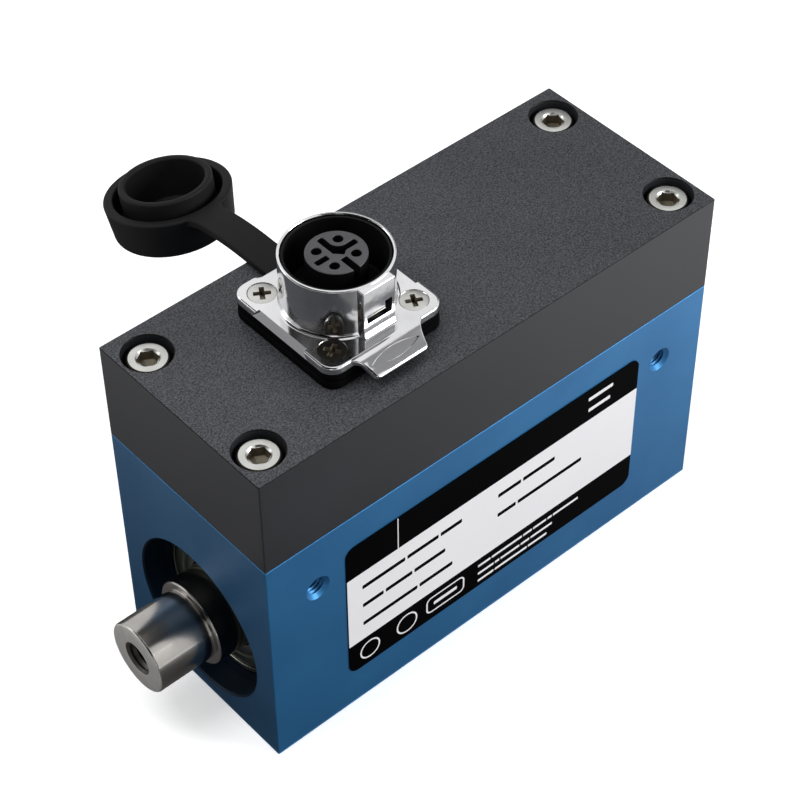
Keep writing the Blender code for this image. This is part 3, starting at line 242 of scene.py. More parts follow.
def round_edges(low: float, high: float, lower: float, upper: float, steps: int = 4) -> Array:
    """Levels for a slab whose two rims are quarter circles.

    At an angle a from 0 to a right angle, a rim of radius e stands e(1 - cos a) in from the end's height and
    is drawn in by e(1 - sin a).

    Args:
        low: height of the bottom.
        high: height of the top.
        lower: radius of the bottom rim.
        upper: radius of the top rim.
        steps: pieces in each quarter.

    Returns:
        Rows of height and inset.
    """
    a = np.linspace(0, math.pi / 2, steps + 1)
    rise, inset = 1 - np.cos(a), 1 - np.sin(a)
    bottom = np.stack([low + lower * rise, lower * inset], axis=1)
    top = np.stack([high - upper * rise, upper * inset], axis=1)[::-1]
    return np.concatenate([bottom if lower else bottom[:1], top if upper else top[-1:]])


def rectangle(half: Pair, corner: float, centre: Pair = (0.0, 0.0), steps: int = 8) -> Array:
    """The outline of a rectangle with round corners.

    Args:
        half: half its size in x and in y.
        corner: its corners' radius.
        centre: its middle.
        steps: pieces in each corner.

    Returns:
        Rows of x and y, anticlockwise.
    """
    turns = ((1, -1), (1, 1), (-1, 1), (-1, -1))
    return soften([(centre[0] + a * half[0], centre[1] + b * half[1], corner) for a, b in turns], steps)


def thread(minor: float, major: float, pitch: float, low: float, high: float) -> list[Point]:
    """Corners of a threaded wall, as rings of the thread's pitch: the radius swings minor, major.

    Args:
        minor: the radius at the crests of a nut's thread.
        major: the radius of its roots.
        pitch: the height of one turn.
        low: where the wall starts.
        high: where it ends.

    Returns:
        Corners for soften, all sharp.
    """
    heights = np.arange(low, high, pitch / 2)
    radii = np.where(np.arange(len(heights)) % 2 == 0, minor, major)
    return [(float(r), float(h), 0.0) for r, h in zip(radii, heights)]


def at(x: float = 0.0, y: float = 0.0, z: float = 0.0) -> Matrix:
    """A shift by a distance in millimetres."""
    return Matrix.Translation((x * MM, y * MM, z * MM))


def placed(name: str, data: bpy.types.ID | None) -> bpy.types.Object:
    """Put a new object in the scene, at the origin.

    Args:
        name: its name.
        data: its mesh, lamp or camera.

    Returns:
        The object.
    """
    made = bpy.data.objects.new(name, data)
    bpy.context.scene.collection.objects.link(made)
    return made


def bake(surface: Surface, name: str = "shape") -> bpy.types.Mesh:
    """Put a surface in a mesh in metres, merge its doubles and point its faces outwards.

    Args:
        surface: the surface.
        name: the mesh's name.

    Returns:
        The mesh.
    """
    mesh = bpy.data.meshes.new(name)
    mesh.from_pydata((surface.points * MM).tolist(), [], surface.faces)
    work = bmesh.new()
    work.from_mesh(mesh)
    bmesh.ops.remove_doubles(work, verts=work.verts, dist=1e-7)
    bmesh.ops.recalc_face_normals(work, faces=work.faces)
    work.to_mesh(mesh)
    work.free()
    return mesh


def worked(base: Surface, *steps: tuple[Step, Surface]) -> bpy.types.Mesh:
    """Cut solids from a solid and join others on, in the order given.

    Args:
        base: the solid to start from.
        steps: what is done, and the second solid.

    Returns:
        The finished mesh, in metres.
    """
    body = placed("work", bake(base))
    for step, other in steps:
        tool = placed("tool", bake(other))
        change = body.modifiers.new("step", "BOOLEAN")
        change.object, change.operation, change.solver = tool, step.value, "EXACT"
        bpy.context.view_layer.update()
        made = bpy.data.meshes.new_from_object(body.evaluated_get(bpy.context.evaluated_depsgraph_get()))
        body.modifiers.clear()
        body.data = made
        bpy.data.objects.remove(tool)
    mesh = body.data
    bpy.data.objects.remove(body)
    return mesh


def screw_copies(shape: bpy.types.Mesh, middle: float, half: Pair,
                 turns: Sequence[float]) -> Iterator[tuple[int, float, float, bpy.types.Mesh]]:
    """Copies of a screw at the corners of a rectangle, each turned as it came to rest when tightened.

    Args:
        shape: the screw on the Z axis, which is deleted in the end.
        middle: x of the rectangle's middle.
        half: half the spacing in x and in y.
        turns: the four turns, in degrees.

    Yields:
        The screw's number, its x and y, and its mesh in place.
    """
    for number, ((a, b), turn) in enumerate(zip(QUADRANTS, turns), 1):
        x, y = middle + a * half[0], b * half[1]
        mesh = shape.copy()
        mesh.transform(at(x, y) @ Matrix.Rotation(math.radians(turn), 4, "Z"))
        yield number, x, y, mesh
    bpy.data.meshes.remove(shape)


# Finishes

def linear(colour: str) -> tuple[float, float, float, float]:
    """Turn sRGB into linear light: ((c + 0.055) / 1.055) ^ 2.4, or c / 12.92 in the darkest part.

    Args:
        colour: a hex colour with its # in front.

    Returns:
        Red, green, blue and an alpha of one.
    """
    parts = np.array([int(colour[i:i + 2], 16) for i in (1, 3, 5)]) / 255
    light = np.where(parts <= 0.04045, parts / 12.92, ((parts + 0.055) / 1.055) ** 2.4)
    return (*map(float, light), 1.0)


def add_node(tree: Tree, kind: str, settings: dict | None = None,
             links: dict | None = None) -> bpy.types.Node:
    """Add a node, set it up and wire it.

    Args:
        tree: the node tree.
        kind: the node's type, without the ShaderNode in front.
        settings: values by property name, or by input name or number.
        links: output sockets by input name or number.

    Returns:
        The new node.
    """
    made = tree.nodes.new(f"ShaderNode{kind}")
    for key, value in (settings or {}).items():
        if isinstance(key, str) and hasattr(made, key):
            setattr(made, key, value)
        else:
            made.inputs[key].default_value = value
    for key, socket in (links or {}).items():
        tree.links.new(socket, made.inputs[key])
    return made


def ramp(tree: Tree, value: Socket, span: Pair, levels: Pair, kind: str = "LINEAR") -> Socket:
    """Carry a value from one span to another and hold it at both ends.

    Args:
        tree: the node tree.
        value: the value.
        span: where it starts and ends.
        levels: what it becomes there.
        kind: how it runs between them.

    Returns:
        The new value.
    """
    settings = {"interpolation_type": kind, "From Min": span[0], "From Max": span[1],
                "To Min": levels[0], "To Max": levels[1]}
    return add_node(tree, "MapRange", settings, {"Value": value}).outputs["Result"]


def mixed(tree: Tree, share: Socket, first: Sequence[float], second: Sequence[float]) -> bpy.types.Node:
    """A node that mixes two colours by a share, whose result is its output 2."""
    return add_node(tree, "Mix", {"data_type": "RGBA", 6: first, 7: second}, {0: share})


class Grain(Enum):
    """The marks that the making leaves on a surface, and how fine its noise goes."""

    BLASTED = "glass bead pits"
    GROUND = "rings of a grinding wheel or a tool"
    CAST = "slow waves under bright plating"
    MOULDED = "spark eroded mould"
    WOUND = "turns of wire side by side"


DETAIL = {Grain.BLASTED: 3.0, Grain.GROUND: 4.0, Grain.CAST: 1.0, Grain.MOULDED: 2.0}


@dataclass(frozen=True)
class Finish:
    """One finish: a colour that wanders a little, a roughness that varies, and a grain of a real size."""

    name: str
    slot: str
    colour: str
    second: str
    roughness: float
    metallic: float = 0.0
    grain: Grain = Grain.MOULDED
    pitch: float = 0.2
    depth: float = 0.01
    patch: float = 9.0
    spread: float = 0.06
    # Painted glints: how far the colour lightens on the grain's high points.
    painted_glint: float = 0.0
    coat: float = 0.0
    specular: float = 0.5
    centre: Point = (0.0, 0.0, 0.0)

    def place(self, tree: Tree) -> Socket:
        """Object coordinates in millimetres about the finish's centre.

        Args:
            tree: the node tree.

        Returns:
            The coordinates.
        """
        shift = tuple(-c for c in self.centre)
        coordinates = add_node(tree, "TexCoord").outputs["Object"]
        return add_node(tree, "Mapping", {"Scale": (1 / MM,) * 3, "Location": shift},
                        {"Vector": coordinates}).outputs["Vector"]

    def rings(self, tree: Tree, place: Socket) -> Socket:
        """Turn a place into (x, distance from the X axis, 0), so that marks run round it.

        Args:
            tree: the node tree.
            place: the place.

        Returns:
            The new place.
        """
        apart = add_node(tree, "SeparateXYZ", links={0: place})
        off = add_node(tree, "VectorMath", {"operation": "MULTIPLY", 1: (0.0, 1.0, 1.0)}, {0: place})
        radius = add_node(tree, "VectorMath", {"operation": "LENGTH"}, {0: off.outputs["Vector"]})
        return add_node(tree, "CombineXYZ", links={"X": apart.outputs["X"],
                                                   "Y": radius.outputs["Value"]}).outputs["Vector"]

    def relief(self, tree: Tree, place: Socket) -> Socket:
        """The grain's height from 0 to 1, at the grain's own pitch.

        Args:
            tree: the node tree.
            place: the place on the surface.

        Returns:
            The height.
        """
        if self.grain is Grain.WOUND:
            settings = {"wave_type": "BANDS", "bands_direction": "X", "Scale": 0.314 / self.pitch,
                        "Distortion": 0.4}
            return add_node(tree, "TexWave", settings, {"Vector": self.rings(tree, place)}).outputs["Fac"]
        if self.grain is Grain.GROUND:
            place = self.rings(tree, place)
        settings = {"Scale": 1 / self.pitch, "Detail": DETAIL[self.grain], "Roughness": 0.6}
        return add_node(tree, "TexNoise", settings, {"Vector": place}).outputs["Fac"]

    def material(self) -> bpy.types.Material:
        """The finish as a material, made once.

        Returns:
            The material.
        """
        found = bpy.data.materials.get(self.name)
        if found:
            return found
        made = bpy.data.materials.new(self.name)
        made.use_nodes = True
        tree = made.node_tree
        shader = tree.nodes["Principled BSDF"]
        shader.inputs["Metallic"].default_value = self.metallic
        shader.inputs["Coat Weight"].default_value = self.coat
        shader.inputs["Specular IOR Level"].default_value = self.specular
        place = self.place(tree)
        relief = self.relief(tree, place)
        noise = add_node(tree, "TexNoise", {"Scale": 1 / self.patch, "Detail": 4.0}, {"Vector": place})
        cloud = noise.outputs["Fac"]
        tint = ramp(tree, cloud, (0.3, 0.7), (0.0, 1.0))
        # Painted glints: the colour lightens with the grain's height, as if pits caught the light.
        if self.painted_glint:
            glint_tone = ramp(tree, relief, (0.38, 0.64), (0.0, self.painted_glint))
            settings = {"operation": "MULTIPLY_ADD", "use_clamp": True, 1: 1 - self.painted_glint}
            tint = add_node(tree, "Math", settings, {0: tint, 2: glint_tone}).outputs["Value"]
        colour = mixed(tree, tint, linear(self.colour), linear(self.second))
        rough = ramp(tree, cloud, (0.25, 0.75), (self.roughness - self.spread, self.roughness + self.spread))
        bump = add_node(tree, "Bump", {"Strength": 1.0, "Distance": self.depth * MM}, {"Height": relief})
        tree.links.new(colour.outputs[2], shader.inputs["Base Color"])
        tree.links.new(rough, shader.inputs["Roughness"])
        tree.links.new(bump.outputs["Normal"], shader.inputs["Normal"])
        return made


# Anodised aluminium, fly cut and then dyed blue: a satin, half metallic blue.
BLUE_ANODISED = Finish("blue_anodised_aluminium_milled", "blue_anodised", "#2F78AE", "#296A9E", 0.42, 0.55,
                       Grain.BLASTED, 0.10, 0.004, 16.0, 0.05)
# The same dye on the end faces, darkened to a navy blue: painted shade, as the ends face away from the lamps.
BLUE_SHADED_END = Finish("blue_anodised_aluminium_ends_painted_shade", "blue_anodised", "#28638E", "#225680", 0.42, 0.50,
                  Grain.BLASTED, 0.10, 0.004, 16.0, 0.05)
# Anodised aluminium, glass bead blasted and dyed black: dark grey, with painted glints that lighten the
# colour on the grain's high points.
BLACK_ANODISED = Finish("black_anodised_aluminium_blasted_painted_glints", "black_anodised", "#141518", "#54555B", 0.48, 0.3,
                        Grain.BLASTED, 0.22, 0.06, 14.0, 0.04, painted_glint=0.9)
# The same dye on surfaces that were milled and not blasted, such as the sides: even and darker.
BLACK_SATIN = Finish("black_anodised_aluminium_milled", "black_anodised", "#26272B", "#2E2F34", 0.42, 0.35,
                     Grain.BLASTED, 0.10, 0.004, 16.0, 0.05)
# Its thin broken edges, painted near black: painted shade that keeps a dark line along the top's edges.
BLACK_SHADED_EDGE = Finish("black_anodised_aluminium_edge_painted_shade", "black_anodised", "#08080A", "#0D0D0F", 0.45, 0.1,
                    Grain.BLASTED, 0.10, 0.004, 16.0, 0.05, specular=0.15)
# The blue in the turned bore, where the tool left fine rings, darkened to near black: painted shade down in
# the bore and the recess.
BLUE_SHADED_BORE = Finish("blue_anodised_aluminium_bore_painted_shade", "blue_anodised", "#0C2033", "#091826", 0.50, 0.3,
                     Grain.GROUND, 0.15, 0.006, 9.0, 0.05, specular=0.2, centre=SHAFT_AXIS)
# Alloy steel, ground round its axis: bright, with fine rings that draw the light out across them.
GROUND_STEEL = Finish("alloy_steel_ground", "ground_steel", "#B9B6B2", "#A19E9A", 0.16, 1.0,
                      Grain.GROUND, 0.09, 0.0012, 5.0, 0.05, centre=SHAFT_AXIS)
# The shaft's tapped holes, cut and left dull, and darker than the ground steel.
TAPPED_STEEL = Finish("alloy_steel_tapped", "ground_steel", "#6A6866", "#504E4C", 0.45, 1.0,
                      Grain.CAST, 0.3, 0.01, 2.0, 0.08)
# The shaft's end faces, turned flat after the grinding and so duller than its sides.
FACED_STEEL = Finish("alloy_steel_faced", "ground_steel", "#F2F0EC", "#DEDBD6", 0.42, 0.9,
                     Grain.CAST, 0.3, 0.01, 2.0, 0.08)
# Bearing steel, lapped: cleaner than the shaft's steel, with finer rings.
BEARING_STEEL = Finish("bearing_steel_lapped", "ground_steel", "#A5A39D", "#8F8E88", 0.24, 1.0,
                       Grain.GROUND, 0.12, 0.001, 5.0, 0.05, centre=SHAFT_AXIS)
# Cold rolled sheet steel with a film of grease: a greenish grey.
SHIELD_STEEL = Finish("shield_sheet_steel_pressed", "screw_steel", "#8C9284", "#6F7568", 0.34, 1.0,
                      Grain.GROUND, 0.25, 0.003, 4.0, 0.08, centre=SHAFT_AXIS)
# Stainless steel screws, cold headed: bright and a little warm.
SCREW_STEEL = Finish("stainless_steel_cold_headed", "screw_steel", "#D6D6D3", "#C4C4C0", 0.30, 1.0,
                     Grain.CAST, 0.25, 0.004, 2.0, 0.06)
# Darker steel for the screws' knurled sides and sockets down in their counterbores, and for the whole of the
# flange screw in the barrel's shade: painted shade.
SHADED_SCREW_STEEL = Finish("stainless_steel_painted_shade", "screw_steel", "#34322E", "#272522", 0.42, 1.0,
                    Grain.CAST, 0.2, 0.01, 1.5, 0.08)
# The floors of the screws' recesses, which the punch left rough: a dull straw grey, darker than the heads,
# painted shade in the recesses.
SHADED_RECESS_STEEL = Finish("stainless_steel_recess_painted_shade", "screw_steel", "#9A9384", "#7D7566", 0.45, 1.0,
                     Grain.CAST, 0.2, 0.01, 1.5, 0.08)
# Zinc, die cast, tumbled and bright nickel plated: nearly a mirror, with the casting's slow waves in it.
PLATED_ZINC = Finish("zinc_die_cast_bright_nickel", "plated_zinc", "#E9E9EA", "#D8D8DA", 0.13, 1.0,
                     Grain.CAST, 1.3, 0.010, 6.0, 0.04)
# Glass filled nylon, moulded black: it swallows the light down in the barrel.
BLACK_NYLON = Finish("glass_filled_nylon_moulded_black", "black_plastic", "#060607", "#0A0A0B", 0.55, 0.0,
                     Grain.MOULDED, 0.15, 0.008, 5.0, specular=0.15)
# The same nylon in grey for the contact block, matt from its mould.
GREY_NYLON = Finish("glass_filled_nylon_moulded_grey", "grey_plastic", "#4B4B4D", "#434345", 0.55, 0.0,
                    Grain.MOULDED, 0.12, 0.012, 3.0, specular=0.3)
# Chloroprene rubber, compression moulded: a soft black with a dull sheen.
BLACK_RUBBER = Finish("chloroprene_rubber_moulded", "black_rubber", "#0C0C0D", "#131315", 0.60, 0.0,
                      Grain.MOULDED, 0.25, 0.012, 10.0, specular=0.16)
# Chloroprene rubber sheet, punched: fully matt and darker than the moulded rubber, painted shade under the
# flange, so that the gasket reads as a black line.
SHADED_RUBBER_SHEET = Finish("chloroprene_rubber_sheet_painted_shade", "black_rubber", "#050506", "#08080A", 0.75, 0.0,
                      Grain.MOULDED, 0.25, 0.012, 10.0, specular=0.03)
# Brass, turned and gold plated: a warm spark at the bottom of each contact's hole.
GOLD_PLATE = Finish("turned_brass_gold_plated", "gold_contact", "#C9A552", "#B08A3C", 0.28, 1.0,
                    Grain.MOULDED, 0.3, 0.003, 2.0)
# Copper wire in clear enamel, wound in rows: reddish brown and glossy.
ENAMELLED_COPPER = Finish("copper_wire_enamelled_wound", "copper_wire", "#A4522A", "#87401F", 0.32, 0.9,
                          Grain.WOUND, 0.3, 0.08, 4.0, coat=0.4, centre=SHAFT_AXIS)
# Ferrite, pressed and sintered: dead dark grey.
FERRITE = Finish("manganese_ferrite_sintered", "ferrite", "#2C2C2E", "#3A3A3C", 0.62, 0.1,
                 Grain.MOULDED, 0.3, 0.01, 4.0)
# Glass epoxy board under green solder mask, which leaves a thin gloss.
SOLDER_MASK = Finish("glass_epoxy_board_green_mask", "circuit_board", "#14502A", "#1B6334", 0.36, 0.0,
                     Grain.MOULDED, 0.6, 0.02, 3.0, coat=0.3)
# Epoxy, moulded round the chips: a matt charcoal.
EPOXY_BLACK = Finish("epoxy_package_moulded", "black_plastic", "#161618", "#1F1F22", 0.6, 0.0,
                     Grain.MOULDED, 0.2, 0.01, 3.0)
# Polyimide foil of the gauges, etched in lines: a glossy amber.
POLYIMIDE = Finish("polyimide_foil_etched", "gauge_foil", "#C98A2B", "#A96F1E", 0.35, 0.0,
                   Grain.WOUND, 0.25, 0.004, 2.0, coat=0.3, centre=SHAFT_AXIS)
# Silicone, extruded round the inner leads: a soft grey.
SILICONE = Finish("silicone_insulation_grey", "cable_grey", "#8A8A8C", "#7A7A7C", 0.5, 0.0,
                  Grain.MOULDED, 0.4, 0.01, 4.0)
# Polyester label foil, screen printed black and white under a satin varnish.
LABEL_BLACK = Finish("polyester_foil_printed_black", "printed_foil", "#030304", "#060607", 0.50, 0.0,
                     Grain.MOULDED, 0.3, 0.002, 20.0, 0.03, specular=0.01)
LABEL_WHITE = Finish("polyester_foil_printed_white", "printed_foil", "#EFEEF1", "#EAE9EC", 0.50, 0.0,
                     Grain.MOULDED, 0.3, 0.002, 20.0, 0.03, specular=0.1)


def show(name: str, mesh: bpy.types.Mesh, finish: Finish, body: str, replaces: Sequence[str] = (),
         sharp: float = 30.0) -> bpy.types.Object:
    """Add a piece, give it its finish, attach it to the body it rides on and hide the solids it stands for.

    Args:
        name: the piece's name.
        mesh: its mesh, in place and in metres.
        finish: its finish.
        body: the body it moves with, or nothing to leave it unattached.
        replaces: the solids that it stands for.
        sharp: edges that turn further than this many degrees stay sharp.

    Returns:
        The piece.
    """
    mesh.name = name
    mesh.materials.clear()
    mesh.materials.append(finish.material())
    mesh.shade_smooth()
    mesh.set_sharp_from_angle(angle=math.radians(sharp))
    made = placed(name, mesh)
    even = made.modifiers.new("even_shading", "WEIGHTED_NORMAL")
    even.keep_sharp = True
    if body:
        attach(made, body)
    if replaces:
        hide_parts(*replaces)
    corners = np.array(made.bound_box) / MM
    log.info("%s: %d points, %d faces, %s, from %s to %s mm", name, len(mesh.vertices), len(mesh.polygons),
             finish.name, corners.min(0).round(2).tolist(), corners.max(0).round(2).tolist())
    return made


def dress(piece: bpy.types.Object, finish: Finish, where: Callable[[Array, Array], Array]) -> None:
    """Give some of a piece's faces another finish.

    Args:
        piece: the piece.
        finish: the other finish.
        where: takes the faces' middles in millimetres and their normals, and says which of them change.
    """
    mesh = piece.data
    middles, normals = np.empty(len(mesh.polygons) * 3), np.empty(len(mesh.polygons) * 3)
    slots = np.empty(len(mesh.polygons), np.int32)
    mesh.polygons.foreach_get("center", middles)
    mesh.polygons.foreach_get("normal", normals)
    mesh.polygons.foreach_get("material_index", slots)
    slots[where(middles.reshape(-1, 3) / MM, normals.reshape(-1, 3))] = len(mesh.materials)
    mesh.materials.append(finish.material())
    mesh.polygons.foreach_set("material_index", slots)
    changed = int((slots == len(mesh.materials) - 1).sum())
    log.info("%s: %d of its faces in %s", piece.name, changed, finish.name)


def from_shaft(middle: Array) -> Array:
    """Distances of face middles from the shaft's axis."""
    return np.hypot(middle[:, 1], middle[:, 2] - SHAFT_AXIS[2])


@dataclass
class Housing:
    """The blue block with its bore, pocket and tapped holes, and the black cover on it."""

    length: float = 73.4
    width: float = 30.0
    height: float = 35.4
    edge: float = 0.11
    corner: float = 0.18
    recess: float = 11.45
    recess_floor: float = 33.1
    mouth: float = 0.22
    seat: float = 10.6
    seat_end: float = 28.0
    lip: float = 9.2
    trough: float = 11.6
    pocket: Pair = (26.6, 11.7)
    pocket_corner: float = 2.0
    side_hole: Point = (29.1, 15.0, 26.9)
    base_hole: Pair = (29.1, 11.0)
    cover_screw: float = 1.6
    seam: float = 0.06
    roof: float = 3.0
    post: Pair = (22.0, 7.7)
    post_radius: float = 2.3
    post_end: float = 40.9
    pilot: float = 1.1
    pilot_depth: float = 5.5
    clearance: float = 1.7
    counterbore: float = 3.15
    counterbore_depth: float = 3.8
    counterbore_rim: float = 0.12
    socket_hole: float = 6.5

    def tapped(self, minor: float, major: float, pitch: float, depth: float, chamfer: float) -> Surface:
        """A blind tapped hole that goes down from height 0, with a drill point and a chamfered mouth.

        Args:
            minor: the thread's smaller radius.
            major: its larger radius.
            pitch: the height of one turn.
            depth: how deep the thread goes.
            chamfer: the chamfer's size.

        Returns:
            The hole, as a solid to cut with.
        """
        wall = thread(minor, major, pitch, -depth, -chamfer)
        mouth = [(major, -chamfer, 0), (major + chamfer + 1, 1, 0), (0, 1, 0)]
        return revolve(soften([(0, -depth - minor * 0.6, 0), *wall, *mouth], 1), 64)

    def slab(self, low: float, high: float) -> Surface:
        """A block of the housing's length and width, its edges broken."""
        return loft(rectangle((self.length / 2, self.width / 2), self.corner, steps=4),
                    round_edges(low, high, self.edge, self.edge))

    def bore(self) -> Surface:
        """What the lathe takes out along the shaft: trough, lip, bearing seat and recess, alike at both ends.

        Returns:
            The bore about the X axis.
        """
        half = self.length / 2
        side = [(self.trough, 0, 0), (self.trough, self.pocket[0], 0), (self.lip, self.pocket[0], 0),
                (self.lip, self.seat_end, 0), (self.seat, self.seat_end, 0),
                (self.seat, self.recess_floor, 0), (self.recess, self.recess_floor, 0.1),
                (self.recess, half - self.mouth, 0.05), (self.recess + self.mouth + 1, half + 1, 0)]
        mirrored = [(r, -x, c) for r, x, c in side[:0:-1]]
        return revolve(soften([(0, -half - 1, 0), *mirrored, *side[1:], (0, half + 1, 0)], 2), 192, "X")

    def block(self) -> None:
        """The milled block, with painted shade on its ends and deeper painted shade in its bore."""
        pocket = prism(rectangle(self.pocket, self.pocket_corner), SHAFT_AXIS[2], self.height + 1)
        top_holes = at_corners(cylinder(self.cover_screw, -8, 1, 48), *COVER_SCREWS).moved(z=self.height)
        base_hole = self.tapped(minor=1.65, major=2.0, pitch=0.7, depth=6.0, chamfer=0.35)
        base_holes = at_corners(base_hole.turned(180, "X"), *self.base_hole)
        side_hole = self.tapped(minor=1.25, major=1.5, pitch=0.5, depth=5.5, chamfer=0.3)
        x, y, z = self.side_hole
        faces = [(s, a) for s in (1, -1) for a in (-1, 1)]
        sides = together([side_hole.turned(90 * s, "X").moved(a * x, -y * s, z) for s, a in faces])
        mesh = worked(self.slab(0, self.height), (Step.CUT, self.bore().moved(z=SHAFT_AXIS[2])),
                      (Step.CUT, pocket), (Step.CUT, together([top_holes, base_holes, sides])))
        made = show("housing_block", mesh, BLUE_ANODISED, "stator", ["housing_body"])

        def turned(middle: Array, normal: Array) -> Array:
            """Faces of the bore, inside the end faces and below the pocket's walls."""
            inside = np.abs(middle[:, 0]) < self.length / 2 - 0.02
            return (from_shaft(middle) < self.recess + 0.4) & inside & (middle[:, 2] < 26)

        # Painted shade on the end faces.
        dress(made, BLUE_SHADED_END, lambda middle, normal: np.abs(normal[:, 0]) > 0.9)
        # Painted shade in the bore and in the recess at each end.
        dress(made, BLUE_SHADED_BORE, turned)

    def cover(self) -> None:
        """The cover with its counterbores, blasted on top, and hollow over its four board posts."""
        low, roof, floor = self.height + self.seam, COVER_TOP - self.roof, COVER_TOP - self.counterbore_depth
        pocket = prism(rectangle(self.pocket, self.pocket_corner), low - 1, roof)
        end, radius = self.post_end, self.post_radius
        post = revolve(soften([(0, end, 0), (radius, end, 0.2), (radius, roof + 1, 0), (0, roof + 1, 0)]), 48)
        pilot = cylinder(self.pilot, end - 1, end + self.pilot_depth, 32)
        opening = cylinder(self.socket_hole, roof - 1, COVER_TOP + 1, 96).moved(SOCKET_X)
        tapped = at_corners(cylinder(self.pilot, roof - 1, COVER_TOP + 1, 32), *FLANGE_SCREWS).moved(SOCKET_X)
        wide, rim = self.counterbore, self.counterbore_rim
        hole = soften([(0, low - 1, 0), (self.clearance, low - 1, 0), (self.clearance, floor, 0),
                       (wide, floor, 0.15), (wide, COVER_TOP - rim, 0.03), (wide + rim + 1, COVER_TOP + 1, 0),
                       (0, COVER_TOP + 1, 0)], 2)
        mesh = worked(self.slab(low, COVER_TOP), (Step.CUT, pocket),
                      (Step.JOIN, at_corners(post, *self.post)),
                      (Step.CUT, together([at_corners(pilot, *self.post), opening, tapped])),
                      (Step.CUT, at_corners(revolve(hole, 96), *COVER_SCREWS)))
        made = show("cover_block", mesh, BLACK_SATIN, "stator", ["top_cover"])

        def blasted(middle: Array, normal: Array) -> Array:
            """The flat faces on top."""
            return (normal[:, 2] > 0.98) & (middle[:, 2] > COVER_TOP - 0.01)

        def broken_edge(middle: Array, normal: Array) -> Array:
            """The sloping faces round the top."""
            return (np.abs(normal[:, 2] - 0.55) < 0.4) & (middle[:, 2] > COVER_TOP - 0.2)

        # Painted glints on the flat faces on top.
        dress(made, BLACK_ANODISED, blasted)
        # Painted shade on the sloping faces round the top.
        dress(made, BLACK_SHADED_EDGE, broken_edge)

    def build(self) -> None:
        """Both blocks."""
        self.block()
        self.cover()


@dataclass
class CoverScrews:
    """Four socket cap screws down in the cover's counterbores."""

    seat: float = 46.5
    head: float = 2.75
    head_height: float = 3.0
    shoulder: float = 0.38
    ridges: int = 36
    ridge_depth: float = 0.05
    shank: float = 1.5
    low: float = 28.4
    hexagon: float = 2.5
    hexagon_depth: float = 1.5
    turns: tuple[float, ...] = (28, 32, 15, 18)

    def knurl(self, points: Array) -> Array:
        """Draw the head's side in by d(1 - cos(n a)), fading out over 0.2 mm at both of its ends.

        Args:
            points: the screw's points.

        Returns:
            The same points, knurled.
        """
        angle = np.arctan2(points[:, 1], points[:, 0])
        outside = np.hypot(points[:, 0], points[:, 1]) > self.head - 0.2
        up = np.clip((points[:, 2] - self.seat - 0.2) / 0.2, 0, 1)
        down = np.clip((self.seat + self.head_height - self.shoulder - points[:, 2] + 0.05) / 0.2, 0, 1)
        depth = self.ridge_depth * (1 - np.cos(self.ridges * angle)) * outside * up * down
        scale = 1 - depth / self.head
        return points * np.stack([scale, scale, np.ones_like(scale)], axis=1)

    def screw(self) -> bpy.types.Mesh:
        """One screw on the Z axis: turned outline, thread rings, and a hexagon socket with a conical floor.

        Returns:
            The screw's mesh.
        """
        top = self.seat + self.head_height
        ridge = thread(self.shank - 0.25, self.shank, 0.5, self.low + 0.3, self.low + 6.5)
        side = [(self.head, z, 0.0) for z in np.linspace(self.seat + 0.2, top - self.shoulder - 0.05, 6)]
        outline = soften([(0, self.low, 0), (1.0, self.low, 0), *ridge, (self.shank, self.low + 6.6, 0),
                          (self.shank, self.seat, 0.1), (self.head, self.seat, 0.15), *side,
                          (self.head, top, self.shoulder), (0, top, 0)], 4)
        angle = np.arange(6) * math.tau / 6
        corner, floor = self.hexagon / math.sqrt(3), top - self.hexagon_depth
        socket = prism(np.stack([np.cos(angle), np.sin(angle)], axis=1) * corner, floor, top + 1)
        drill = revolve(np.array([[0, floor - 0.6], [1.15, floor], [1.15, floor + 0.1],
                                  [0, floor + 0.1]]), 48)
        sink = revolve(np.array([[0, top - 0.22], [corner - 0.12, top - 0.22], [corner + 1.10, top + 1.0],
                                 [0, top + 1.0]]), 64)
        head = revolve(outline, 6 * self.ridges).mapped(self.knurl)
        return worked(head, (Step.CUT, socket), (Step.CUT, drill), (Step.CUT, sink))

    def build(self) -> None:
        """The four screws, with painted shade on their sides and a darker straw grey in their sockets, also
        painted shade.
        """
        top = self.seat + self.head_height
        for number, x, y, mesh in screw_copies(self.screw(), 0.0, COVER_SCREWS, self.turns):
            made = show(f"cap_screw_{number}", mesh, SCREW_STEEL, "stator", [f"cover_screw_{number}"])

            def out(middle: Array, x: float = x, y: float = y) -> Array:
                """Distances of face middles from the screw's axis."""
                return np.hypot(middle[:, 0] - x, middle[:, 1] - y)

            # Painted shade on the sides down in the counterbore and down the socket.
            dress(made, SHADED_SCREW_STEEL, lambda middle, normal: (middle[:, 2] < top - 0.25)
                  | (out(middle) > self.head - self.shoulder + 0.02))
            # Painted shade in the hexagon socket.
            dress(made, SHADED_RECESS_STEEL, lambda middle, normal: (middle[:, 2] > self.seat + 0.5)
                  & (middle[:, 2] < top - 0.25) & (out(middle) < self.hexagon * 0.6))


